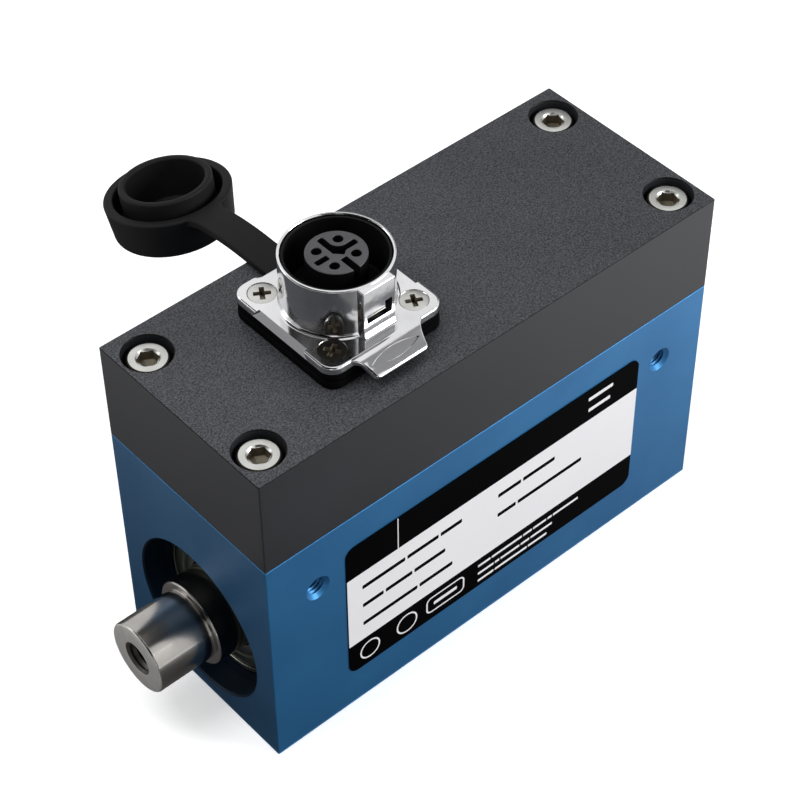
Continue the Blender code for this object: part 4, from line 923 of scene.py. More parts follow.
@dataclass
class ShaftAndBearings:
    """The turned shaft and the shielded ball bearing at each end of the housing."""

    reach: float = 46.3
    stub: float = 5.0
    journal: float = 6.0
    journal_end: float = 38.0
    carrier: float = 7.0
    carrier_end: float = 28.0
    carrier_start: float = 16.5
    torsion_half: float = 12.0
    torsion: float = 4.0
    square: float = 3.0
    hole: float = 2.0
    hole_depth: float = 9.0
    bearing_x: float = 30.6
    bearing_half: float = 2.5
    bearing_outer: float = 10.5
    inner_bore: float = 6.1
    inner_land: float = 7.45
    outer_land: float = 9.4
    race: float = 0.35
    race_half: float = 0.9
    wall_half: float = 1.9
    shield_seat: float = 9.65
    shield_face: float = 2.35
    shield_back: float = 2.0
    shield_inner: float = 7.62
    shield_outer: float = 9.55

    def shaft(self) -> None:
        """The shaft: one outline turned about X, four flats, and a tapped hole in each end."""
        reach, floor = self.reach, self.reach - self.hole_depth
        wall = thread(self.hole - 0.02, self.hole + 0.32, 0.8, 0.35 - reach, -floor)
        outside = [(self.torsion, self.torsion_half, 0.4), (self.carrier, self.carrier_start, 0),
                   (self.carrier, self.carrier_end, 0.1), (self.journal, self.carrier_end, 0.05),
                   (self.journal, self.journal_end, 0.28), (self.stub, self.journal_end, 0.12),
                   (self.stub, reach, 0.32), (self.hole + 0.4, reach, 0.04)]
        right = outside + [(r, -x, 0.0) for r, x, _ in wall] + [(self.hole, floor, 0), (0, floor - 1.1, 0)]
        left = [(r, -x, c) for r, x, c in reversed(right)]
        far = self.carrier + 2
        flat = prism(rectangle((self.torsion_half, far), 0.5), self.square, far)
        mesh = worked(revolve(soften(left + right, 4), 144, "X"),
                      *[(Step.CUT, flat.turned(90 * quarter, "X")) for quarter in range(4)])
        mesh.transform(at(z=SHAFT_AXIS[2]))
        made = show("measuring_shaft", mesh, GROUND_STEEL, "rotor", ["torsion_shaft"])

        def tapped(middle: Array, normal: Array) -> Array:
            """Faces of the two tapped holes."""
            along = np.abs(middle[:, 0])
            return (from_shaft(middle) < self.hole + 0.34) & (along > floor - 2) & (along < reach - 0.1)

        dress(made, TAPPED_STEEL, tapped)
        dress(made, FACED_STEEL, lambda middle, normal: np.abs(middle[:, 0]) > reach - 0.1)

    def rings(self, side: int, label: str) -> None:
        """The two rings and the two shields of one bearing.

        Args:
            side: -1 for the end that the socket is near, 1 for the other.
            label: the word for it in the names.
        """
        half, place = self.bearing_half, {"x": side * self.bearing_x, "z": SHAFT_AXIS[2]}
        bore, land, groove = self.inner_bore, self.inner_land, self.race
        near, wall = self.race_half, self.wall_half
        inner = soften([(bore, -half, 0.25), (land, -half, 0.12), (land, -wall, 0), (land, -near, 0.1),
                        (land - groove, 0, 0.8), (land, near, 0.1), (land, wall, 0), (land, half, 0.12),
                        (bore, half, 0.25)], 6)
        show(f"inner_ring_{label}", bake(revolve(inner, 128, "X").moved(**place)), BEARING_STEEL, "rotor",
             [f"bearing_inner_ring_{label}"])
        outer, rim, seat = self.outer_land, self.bearing_outer, self.shield_seat
        ring = soften([(rim, -half, 0.3), (rim, half, 0.3), (seat, half, 0.08), (seat, wall, 0),
                       (outer, wall, 0), (outer, near, 0.1), (outer + groove, 0, 0.8), (outer, -near, 0.1),
                       (outer, -wall, 0), (seat, -wall, 0), (seat, -half, 0.08)], 6)
        show(f"outer_ring_{label}", bake(revolve(ring, 128, "X").moved(**place)), BEARING_STEEL, "stator",
             [f"bearing_outer_ring_{label}"])
        face, back, lip, edge = self.shield_face, self.shield_back, self.shield_inner, self.shield_outer
        for way, where in ((side, "outer"), (-side, "inner")):
            shape = soften([(lip, face - 0.12, 0.05), (7.95, face - 0.12, 0.1), (8.2, face, 0.1),
                            (9.25, face, 0.1), (edge, face - 0.06, 0.05), (edge, back, 0),
                            (8.2, back, 0.05), (lip, back, 0)], 4)
            shield = revolve(shape, 128, "X").mapped(lambda p, w=way: p * np.array([w, 1, 1]))
            show(f"shield_{label}_{where}", bake(shield.moved(**place)), SHIELD_STEEL, "stator",
                 [f"bearing_shield_{label}_{where}"])

    def build(self) -> None:
        """The shaft and both bearings."""
        self.shaft()
        self.rings(-1, "left")
        self.rings(1, "right")


@dataclass
class PanelSocket:
    """The plated socket on the cover: flange with lobes and tab, barrel, boss, liner, contacts and screws."""

    flange_low: float = 52.64
    flange_top: float = 53.74
    rim: float = 60.95
    edge: float = 0.3
    barrel: float = 7.0
    foot: float = 0.55
    bore: float = 6.6
    spigot: float = 6.3
    tail: float = 5.5
    spigot_end: float = 44.0
    tab_length: float = 3.1
    tab_shift: float = 0.4
    tab_bend: float = 1.5
    tab_inset: float = 0.5
    tab_slope: float = 30.0
    tab_root: float = 5.5
    tab_tip: float = 3.85
    tab_thick: float = 1.02
    tab_edge: float = 0.26
    tab_nose: float = 0.45
    lens: Pair = (3.7, 0.8)
    lens_run: float = 1.55
    facet: float = 0.6
    facet_run: float = 5.0
    boss_half: float = 2.45
    boss_face: float = 7.6
    sill: float = 2.05
    window: Pair = (1.9, 2.1)
    window_step: Pair = (0.85, 1.25)
    window_reach: Pair = (6.15, 8.5)
    screw_head: float = 1.75
    screw_turns: tuple[float, ...] = (30, 57, 62, 78)
    liner: float = 6.5
    liner_bore: float = 6.2
    pillar: float = 3.75
    pillar_drop: float = 0.15
    contact: float = 1.65

    def drop(self, run: Array) -> Array:
        """How far the tab's top has come down: a circle to the bend's end, then a straight slope.

        Args:
            run: distances out from the flange's edge.

        Returns:
            The heights lost there.
        """
        slope = math.radians(self.tab_slope)
        radius = self.tab_bend / math.sin(slope)
        along = np.asarray(run) + self.tab_inset
        bent = radius - np.sqrt(radius ** 2 - np.clip(along, 0, self.tab_bend) ** 2)
        return bent + np.clip(along - self.tab_bend, 0, None) * math.tan(slope)

    def tab(self) -> Surface:
        """The tab: a rounded rectangle carried outwards along the bend.

        Section (a, b) at run s stands at (a - shift, -half - s, top - drop(s)) plus b along the path's
        upward normal. The half width falls from root to tip as
        tip + (root - tip)(0.5(1 - s/L) + 0.5 exp(-5s/L)), and both it and the thickness close in a quarter
        circle at the end.

        Returns:
            The tab, which starts inside the flange.
        """
        length, thick, end, nose = self.tab_length, self.tab_thick, self.tab_edge, self.tab_nose
        psi = np.linspace(0, math.pi / 2, 6)
        run = np.concatenate([np.linspace(-1.2, 0, 3)[:-1], np.linspace(0, length - nose, 22),
                              np.linspace(length - nose, length - end, 8)[1:],
                              (length - end + end * np.sin(psi))[1:]])
        closing = end - np.sqrt(np.clip(end ** 2 - (run - length + end) ** 2, 0, None))
        inset = np.where(run > length - end, closing, 0)[:, None]
        share = np.clip(run, 0, None) / length
        width = self.tab_tip + (self.tab_root - self.tab_tip) * (0.5 * (1 - share) + 0.5 * np.exp(-5 * share))
        over = np.clip(run - length + nose, 0, nose)
        width = (width - (nose - np.sqrt(np.clip(nose ** 2 - over ** 2, 0, None))))[:, None]
        bent = np.clip((run + self.tab_inset) / self.tab_bend, 0, 1)
        slope = (math.radians(self.tab_slope) * bent)[:, None]
        phi = np.linspace(0, math.tau, 20, endpoint=False) + math.tau / 40
        fold = np.clip(end - inset, 0.01, None)
        a = np.sign(np.cos(phi)) * (width - inset - fold) + fold * np.cos(phi)
        b = np.sign(np.sin(phi)) * (thick / 2 - inset - fold) + fold * np.sin(phi)
        y = -FLANGE_HALF[1] - run[:, None] + thick / 2 * np.sin(slope) - b * np.sin(slope)
        z = (self.flange_top - self.drop(run))[:, None] + (b - thick / 2) * np.cos(slope)
        return capped(np.stack([a - self.tab_shift, y, z], axis=-1))

    def boss(self) -> Surface:
        """The flat boss on the barrel, whose foot sweeps forward into the flange like a quarter circle.

        Returns:
            The boss, which starts inside the barrel.
        """
        outline = rectangle((self.boss_half, 2.25), 0.18, (0, 2.25 - self.boss_face), 4)
        levels = round_edges(self.flange_low + 0.4, self.rim - 0.12, 0, 0.16)
        extra = np.stack([self.flange_top + np.linspace(0, 1.0, 9), np.zeros(9)], axis=1)

        def sweep(points: Array) -> Array:
            """Move the front forward by 0.5(1 - sqrt(1 - (1 - h)^2)), h the height above the flange.

            Args:
                points: the boss's points.

            Returns:
                The points with their foot swept.
            """
            h = np.clip(points[:, 2] - self.flange_top, 0, 1)
            forward = 0.5 * (1 - np.sqrt(1 - (1 - h) ** 2)) * (points[:, 1] < -self.boss_face + 0.5)
            return points - np.stack([0 * h, forward, 0 * h], axis=1)

        return loft(outline, np.concatenate([levels[:1], extra, levels[1:]])).mapped(sweep)

    def lens_pit(self) -> Surface:
        """A shallow lens to sink in the tab: two arcs that meet in points.

        Returns:
            The lens, in place and as steep as the tab.
        """
        reach, rise = self.lens
        radius = (reach ** 2 + rise ** 2) / (2 * rise)
        sweep = math.asin(reach / radius)
        a = np.linspace(-sweep, sweep, 25)
        upper = np.stack([-radius * np.sin(a), radius * np.cos(a) + rise - radius], axis=1)
        outline = np.concatenate([upper, -upper[1:-1]])
        shape = loft(outline, np.array([[-0.16, 0.10], [-0.05, 0.0], [1.0, 0.0]]))
        y, z = -FLANGE_HALF[1] - self.lens_run, self.flange_top - float(self.drop(self.lens_run))
        return shape.turned(self.tab_slope, "X").moved(-self.tab_shift, y, z)

    def flange(self) -> Surface:
        """The plate with its lobes, set in between them on the +Y side.

        Returns:
            The plate.
        """
        (x, y), c, inset = FLANGE_HALF, FLANGE_CORNER, 0.5
        back = [(5.2, y, 0.35), (4.7, y - inset, 0.35), (-4.7, y - inset, 0.35), (-5.2, y, 0.35)]
        outline = soften([(x, -y, c), (x, y, c), *back, (-x, y, c), (-x, -y, c)], 12)
        return loft(outline, round_edges(self.flange_low, self.flange_top, 0.1, self.edge))

    def facets(self) -> Surface:
        """What is cut off between the lobes on the +X and -X sides: wedges whose ends lean as their faces do.

        Above the height h of its foot, the face stands lean * h further in, and so does each end.

        Returns:
            Both wedges.
        """
        foot, high = self.flange_low + 0.12, self.flange_top + 0.3
        lean = self.facet / (self.flange_top - foot)

        def sheared(points: Array) -> Array:
            """Lean the wedge over the flange, twice as far as its level draws it in."""
            inward = 2 * lean * (points[:, 2:] - foot)
            return points + np.array([FLANGE_HALF[0], 0.0, 0.0]) - inward * np.array([1.0, 0.0, 0.0])

        run = self.facet_run
        outline = np.array([[6.0, -run], [6.0, run], [0.0, run], [0.0, -run]])
        wedge = loft(outline, np.array([[foot, 0.0], [high, lean * (high - foot)]])).mapped(sheared)
        return together([wedge, wedge.turned(180, "Z")])

    def latch_wire(self) -> None:
        """The bright spring wire that crosses the window's low part."""
        wire = revolve(soften([(0, -2.2, 0), (0.09, -2.2, 0.03), (0.09, 1.1, 0.03), (0, 1.1, 0)], 3), 24, "X")
        wire = wire.moved(SOCKET_X, -self.boss_face + 0.28, self.flange_top + self.sill + 0.72)
        show("latch_spring_wire", bake(wire), BEARING_STEEL, "stator")

    def shell(self) -> None:
        """The die casting."""
        top, foot, low = self.flange_top, self.foot, self.flange_low + 0.35
        angles = np.linspace(0, math.pi / 2, 7)
        end, rim, sill = self.spigot_end, self.rim, top + self.sill
        fillet = [(self.barrel + foot * (1 - math.sin(t)), top + foot * (1 - math.cos(t)), 0.0)
                  for t in angles]
        body = soften([(0, end, 0), (self.spigot, end, 0.3), (self.spigot, low, 0),
                       (self.barrel + foot, low, 0), *fillet, (self.barrel, rim, 0.17), (0, rim, 0)], 6)
        hollow = soften([(0, end - 1, 0), (self.tail, end - 1, 0), (self.tail, low, 0), (self.bore, low, 0),
                         (self.bore, rim - 0.1, 0.08), (self.bore + 1.1, rim + 1, 0), (0, rim + 1, 0)], 4)
        (half, high), (step, shelf) = self.window, self.window_step
        window = soften([(-half, sill, 0.12), (half, sill, 0.12), (half, sill + high, 0.12),
                         (step, sill + high, 0.12), (step, sill + shelf, 0.08),
                         (-half, sill + shelf, 0.12)], 4)
        head = self.screw_head + 0.09
        sink = revolve(np.array([[0, low - 2], [1.1, low - 2], [1.1, top - 0.95], [head, top - 0.1],
                                 [head, top + 1], [0, top + 1]]), 72)
        mesh = worked(self.flange(), (Step.CUT, self.facets()), (Step.JOIN, self.tab()),
                      (Step.JOIN, revolve(body, 160)), (Step.JOIN, self.boss()),
                      (Step.CUT, revolve(hollow, 160)),
                      (Step.CUT, prism(window, *self.window_reach).turned(90, "X")),
                      (Step.CUT, at_corners(sink, *FLANGE_SCREWS)), (Step.CUT, self.lens_pit()))
        mesh.transform(at(SOCKET_X))
        show("socket_shell", mesh, PLATED_ZINC, "stator", ["connector_shell"])

    def barrel_liner(self) -> None:
        """The black liner, a cup with a tube below it."""
        low, end, inner = self.flange_low + 0.47, self.spigot_end + 0.1, self.pillar + 0.1
        bore, wall, rim = self.liner_bore, self.liner, self.rim - 0.25
        outline = soften([(inner, end, 0), (5.4, end, 0.2), (5.4, low, 0), (wall, low, 0), (wall, rim, 0.08),
                          (bore, rim, 0.08), (bore, low + 1.2, 0.3), (inner, low + 1.2, 0)], 4)
        show("barrel_liner", bake(revolve(outline, 128).moved(SOCKET_X)), BLACK_NYLON, "stator",
             ["connector_liner"])

    def contact_block(self) -> None:
        """The block with its keyway, its slots and its four holes, black below a grey face."""
        end, radius, top = self.spigot_end + 0.1, self.pillar, self.rim - self.pillar_drop
        pillar = revolve(soften([(0, end, 0), (radius, end, 0.2), (radius, top, 0.14), (0, top, 0)]), 128)
        turn = np.linspace(math.pi, 1.5 * math.pi, 13)
        curve = [(1.65 + 1.25 * math.cos(t), 1.65 + 1.25 * math.sin(t), 0.0) for t in turn]
        hub = soften([(3.1, 0.45, 0.3), (3.1, -0.42, 0.3), (1.1, -0.42, 0.1), (0.5, -0.9, 0.1),
                      (-0.45, 0.05, 0.1), (-0.45, 3.1, 0.3), (0.45, 3.1, 0.3), *curve], 4)[::-1]
        bar = rectangle((0.93, 0.42), 0.2, (-2.18, 0.0), 4)
        key = rectangle((0.47, 2.0), 0.15, (0.0, -3.25), 4)
        depth = np.array([[self.rim - 4.65, 0], [top - 0.08, 0], [top + 0.02, -0.08], [top + 1, -0.08]])
        pit = revolve(np.array([[0, 43.0], [0.95, 43.0], [0.95, top - 1.55], [0.635, top - 1.5],
                                [0.635, top - 0.08], [0.70, top], [0.70, top + 1], [0, top + 1]]), 48)
        mesh = worked(pillar, *[(Step.CUT, loft(outline, depth)) for outline in (hub, bar, key)],
                      (Step.CUT, at_corners(pit, self.contact, self.contact)))
        mesh.transform(at(SOCKET_X))
        made = show("contact_pillar", mesh, BLACK_NYLON, "stator", ["contact_block"])
        dress(made, GREY_NYLON, lambda middle, normal: middle[:, 2] > top - 0.3)

    def screws(self) -> None:
        """The four countersunk screws with their cross recess, the first of them darkened all over: painted
        shade.
        """
        top = self.flange_top - 0.06
        head, shank = self.screw_head, thread(0.8, 1.0, 0.4, top - 5.8, top - 1.2)
        outline = soften([(0, top - 6, 0), (0.75, top - 6, 0), *shank, (1.0, top - 0.95, 0),
                          (head, top - 0.12, 0.03), (head, top, 0.05), (0, top, 0)], 3)
        arm, web = 1.08, 0.32
        cross = soften([(web, web, 0.06), (web, arm, 0.08), (-web, arm, 0.08), (-web, web, 0.06),
                        (-arm, web, 0.08), (-arm, -web, 0.08), (-web, -web, 0.06), (-web, -arm, 0.08),
                        (web, -arm, 0.08), (web, -web, 0.06), (arm, -web, 0.08), (arm, web, 0.08)], 3)
        recess = loft(cross, np.array([[top - 0.85, 0.2], [top - 0.3, 0.1], [top, 0.0], [top + 0.5, 0.0]]))
        shape = worked(revolve(outline, 72), (Step.CUT, recess))
        for number, _, _, mesh in screw_copies(shape, SOCKET_X, FLANGE_SCREWS, self.screw_turns):
            # Painted shade: the first screw sits in the barrel's shade.
            finish = SHADED_SCREW_STEEL if number == 1 else SCREW_STEEL
            made = show(f"countersunk_screw_{number}", mesh, finish, "stator", [f"flange_screw_{number}"])
            # Painted shade in the cross recess and below the head's top.
            dress(made, SHADED_RECESS_STEEL, lambda middle, normal: middle[:, 2] < top - 0.06)

    def build(self) -> None:
        """All of the socket."""
        self.shell()
        self.latch_wire()
        self.barrel_liner()
        self.contact_block()
        self.screws()


@dataclass
class RubberParts:
    """The gasket and the strap plate under the flange, the strap, and the dust cap on its end."""

    plate: Pair = (50.26, 51.39)
    gasket: Pair = (51.45, 52.58)
    gasket_setback: float = 0.05
    barrel_hole: float = 6.5
    screw_hole: float = 1.15
    width: float = 4.4
    thick: float = 1.13
    hinge: Pair = (10.3, 50.825)
    flat: float = 5.35
    curved: float = 8.2
    tilt: float = 12.0
    inside_plate: float = 1.7
    inside_cap: float = 1.3
    middle: float = 6.6
    outer: float = 8.4
    base: float = 7.8
    height: float = 5.4
    floor: float = 4.2
    wall_inner: float = 7.1
    tube_outer: float = 6.1
    tube_inner: float = 5.15
    tube_top: float = 1.7
    tongue: float = 1.2
    flare: float = 2.6

    def path(self, along: Array) -> tuple[Array, Array, Array]:
        """The strap's middle line: straight out over the cover, then a circle that droops to the cap's tilt.

        Args:
            along: lengths from the hinge line, in millimetres.

        Returns:
            Its y, its z and its droop angle in radians.
        """
        radius = self.curved / math.radians(self.tilt)
        angle = np.clip((along - self.flat) / radius, 0, math.radians(self.tilt))
        rest = np.clip(along - self.flat - self.curved, 0, None)
        y = self.hinge[0] + np.minimum(along, self.flat) + radius * np.sin(angle) + rest * np.cos(angle)
        z = self.hinge[1] - radius * (1 - np.cos(angle)) - rest * np.sin(angle)
        return y, z, angle

    def band(self, start: float, end: float) -> Surface:
        """A length of strap: a rounded rectangle carried along the path, its section square to it.

        Args:
            start: where it starts, in lengths from the hinge line.
            end: where it ends.

        Returns:
            The strap's surface, flat at both ends.
        """
        y, z, angle = (row[:, None] for row in self.path(np.linspace(start, end, 49)))
        section = rectangle((self.width / 2, self.thick / 2), 0.22, steps=4)
        a, b = section[:, 0][None], section[:, 1][None]
        return capped(np.stack([SOCKET_X + a + 0 * y, y + b * np.sin(angle), z + b * np.cos(angle)], axis=-1))

    def sheet(self, name: str, span: Pair, inset: float, replaces: str) -> None:
        """A flat rubber plate with the barrel's hole and four screw holes.

        Args:
            name: the piece's name.
            span: the heights of its bottom and its top.
            inset: how far its edge stands back from the flange's.
            replaces: the solid that it stands for.
        """
        low, high = span
        holes = together([cylinder(self.barrel_hole, low - 1, high + 1, 96),
                          at_corners(cylinder(self.screw_hole, low - 1, high + 1, 32), *FLANGE_SCREWS)])
        half = FLANGE_HALF[0] - inset, FLANGE_HALF[1] - inset
        slab = loft(rectangle(half, FLANGE_CORNER - inset, steps=12), round_edges(low, high, 0.2, 0.2))
        mesh = worked(slab, (Step.CUT, holes))
        mesh.transform(at(SOCKET_X))
        # Painted shade: the sheets lie in the flange's shadow.
        show(name, mesh, SHADED_RUBBER_SHEET, "stator", [replaces])

    def cap(self) -> None:
        """The cap: an outer wall, a sealing tube inside, and a tongue that flares from strap to rim."""
        low, floor, tube_top, wall = -self.height, -self.floor, self.tube_top, self.outer
        shape = soften([(0, low, 0), (self.base, low, 0.85), (wall, 0, 0.34), (self.wall_inner, 0, 0.22),
                        (self.wall_inner, floor, 0.2), (self.tube_outer, floor, 0.2),
                        (self.tube_outer, tube_top, 0.36), (self.tube_inner, tube_top, 0.36),
                        (self.tube_inner, floor, 0.4), (0, floor, 0)], 8)
        reach = wall + self.tongue + self.thick / 2
        half, flare = self.width / 2, self.flare
        a = np.linspace(0, math.pi / 2, 13)
        foot = -math.sqrt(wall ** 2 - (half + flare) ** 2) + 0.35
        start = -reach + 0.4
        right = np.stack([half + flare * (1 - np.cos(a)), start + (foot - start) * np.sin(a)], axis=1)
        back = np.linspace(-0.62, 0.62, 15)[::-1]
        arc = np.stack([7.25 * np.sin(back), -7.25 * np.cos(back)], axis=1)
        outline = np.concatenate([right, arc, (right * np.array([-1, 1]))[::-1]])
        tongue = loft(outline, round_edges(-self.thick, -0.01, 0.2, 0.16))
        mesh = worked(revolve(shape, 160), (Step.JOIN, tongue))
        y, z, _ = self.path(np.array([self.flat + self.curved]))
        droop = Matrix.Rotation(-math.radians(self.tilt), 4, "X")
        mesh.transform(at(SOCKET_X, float(y[0]), float(z[0])) @ droop @ at(0, reach, self.thick / 2))
        show("rubber_dust_cap", mesh, BLACK_RUBBER, "cap", ["dust_cap"], 40)

    def build(self) -> None:
        """The plates, the strap in two lengths, and the cap."""
        self.sheet("rubber_gasket", self.gasket, self.gasket_setback, "flange_gasket")
        self.sheet("rubber_strap_plate", self.plate, 0.0, "strap_plate")
        end = self.flat + self.curved
        near = show("rubber_strap_near", bake(self.band(-self.inside_plate, self.middle)), BLACK_RUBBER, "",
                    ["cap_strap"], 40)
        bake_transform(near)
        length = self.band(self.middle, end + self.inside_cap)
        far = show("rubber_strap_far", bake(length), BLACK_RUBBER, "", (), 40)
        ends = np.stack(self.path(np.array([end - 1.2, end + 1.0]))[:2], axis=1)
        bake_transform(far)
        self.cap()


@dataclass
class Nameplate:
    """The foil label: black with a white field, and only rows of bars and plain frames on it."""

    x: float = 0.1
    low: float = 6.3
    length: float = 49.8
    height: float = 23.8
    corner: float = 1.5
    back: float = 15.03
    front: float = 15.15
    print_top: float = 15.172
    white: Pair = (11.7, 24.5)
    line: float = 0.24

    def panel(self, outline: Array, back: float, front: float) -> Surface:
        """A thin slab on the long face.

        Args:
            outline: rows of x and z.
            back: how far its back lies from the middle of the block.
            front: how far its front does.

        Returns:
            The slab.
        """
        shape = loft(outline, round_edges(back, front, 0, 0.02, 2))
        return shape.mapped(lambda p: np.stack([p[:, 0], -p[:, 2], p[:, 1]], axis=1))

    def bar(self, x: float, z: float, length: float, height: float) -> Surface:
        """A printed bar that starts at x and lies about the height z."""
        outline = rectangle((length / 2, height / 2), min(length, height) * 0.2, (x + length / 2, z), 3)
        return self.panel(outline, self.front - 0.01, self.print_top)

    def row(self, x: float, z: float, lengths: Sequence[float], height: float) -> list[Surface]:
        """Printed bars one after the other, apart by half their height.

        Args:
            x: where the first starts.
            z: the row's middle.
            lengths: the bars' lengths.
            height: the bars' height.

        Returns:
            The bars.
        """
        starts = x + np.concatenate([[0.0], np.cumsum(np.array(lengths) + height * 0.5)[:-1]])
        return [self.bar(float(start), z, length, height) for start, length in zip(starts, lengths)]

    def loop(self, x: float, z: float, half: Pair, corner: float) -> Surface:
        """A printed line round a plain field.

        Args:
            x: the field's middle.
            z: its height.
            half: half its length and height, with the line.
            corner: its corners' radius.

        Returns:
            The line, as the wall between its two outlines.
        """
        line, back, front = self.line, self.front - 0.01, self.print_top
        outer = rectangle(half, corner, (x, z))
        inner = rectangle((half[0] - line, half[1] - line), corner - line, (x, z))
        rings = [(inner, back), (inner, front), (outer, front), (outer, back)]
        points = [np.column_stack([ring[:, 0], np.full(len(ring), -y), ring[:, 1]]) for ring, y in rings]
        return Surface(np.concatenate(points), quads(4, len(outer), True, True).tolist())

    def build(self) -> None:
        """The foil, the white field, and the rows of bars and the plain frames on both."""
        middle = self.x, self.low + self.height / 2
        base = rectangle((self.length / 2, self.height / 2), self.corner, middle, 10)
        foil = self.panel(base, self.back, self.front)
        show("nameplate_foil", bake(foil), LABEL_BLACK, "stator", ["nameplate"])
        low, high = self.white
        middle = self.x, (low + high) / 2
        plain = rectangle((self.length / 2 - 0.02, (high - low) / 2), 0.05, middle, 2)
        white_field = self.panel(plain, self.front - 0.01, self.front + 0.012)
        show("nameplate_white_field", bake(white_field), LABEL_WHITE, "stator")
        white = [self.bar(-16.6, 27.3, 0.16, 5.5)]
        white += self.row(15.9, 28.4, (4.4,), 0.6) + self.row(16.0, 26.4, (3.9,), 0.6)
        for z, lengths in ((10.3, (2.2, 5.4, 1.6, 2.4, 0.8, 4.6)), (8.8, (2.8, 0.8, 3.4, 1.6, 3.9)),
                           (7.4, (2.8, 5.8, 3.4))):
            white += self.row(-2.9, z, lengths, 0.42)
        white += [self.loop(-21.4, 9.0, (1.65, 1.65), 1.6), self.loop(-15.2, 8.9, (1.75, 1.75), 1.7),
                  self.loop(-8.6, 9.1, (3.3, 1.5), 0.9), self.bar(-10.6, 9.1, 4.0, 0.6)]
        show("nameplate_white_print", bake(together(white)), LABEL_WHITE, "stator")
        rows = ((-22.4, 21.7, (7.0, 5.2, 3.6)), (-22.4, 18.2, (3.4, 4.4, 5.2)), (-22.4, 14.7, (9.0, 5.6)),
                (0.3, 21.6, (4.0, 5.6)), (0.3, 17.9, (3.2, 11.4)))
        black = [bar for x, z, lengths in rows for bar in self.row(x, z, lengths, 0.7)]
        show("nameplate_black_print", bake(together(black)), LABEL_BLACK, "stator")


@dataclass
class InnerParts:
    """The solids that stay as they are inside the housing, and the finish of each."""

    finishes: dict[str, Finish] = field(default_factory=lambda: {
        "rotor_core": FERRITE, "stator_core": FERRITE, "rotor_winding": ENAMELLED_COPPER,
        "stator_winding": ENAMELLED_COPPER, "ball_cage": BEARING_STEEL, "rotor_circuit_board": SOLDER_MASK,
        "main_circuit_board": SOLDER_MASK, "strain_gauge": POLYIMIDE, "board_header": EPOXY_BLACK,
        "processor_chip": EPOXY_BLACK, "amplifier_chip": EPOXY_BLACK, "board_screw": SCREW_STEEL,
        "contact_1": GOLD_PLATE, "contact_2": GOLD_PLATE, "contact_3": GOLD_PLATE, "contact_4": GOLD_PLATE,
        "socket_ribbon_cable": SILICONE, "stator_lead": SILICONE})

    def build(self) -> None:
        """Give each of these solids its finish."""
        for name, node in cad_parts.items():
            for start, finish in self.finishes.items():
                if name.startswith(start):
                    node.data.materials.clear()
                    node.data.materials.append(finish.material())
                    log.info("%s keeps its solid, in %s", name, finish.name)


@dataclass(frozen=True)
class Lamp:
    """A square soft lamp. Its level is what a white card at the object would show of it."""

    name: str
    place: Point
    size: float
    level: float


@dataclass(frozen=True)
class Card:
    """A felt card for the metal to reflect. A flag also keeps the sky's light off the object's end."""

    name: str
    place: Point
    wide: float
    high: float
    tone: str
    flag: bool = False


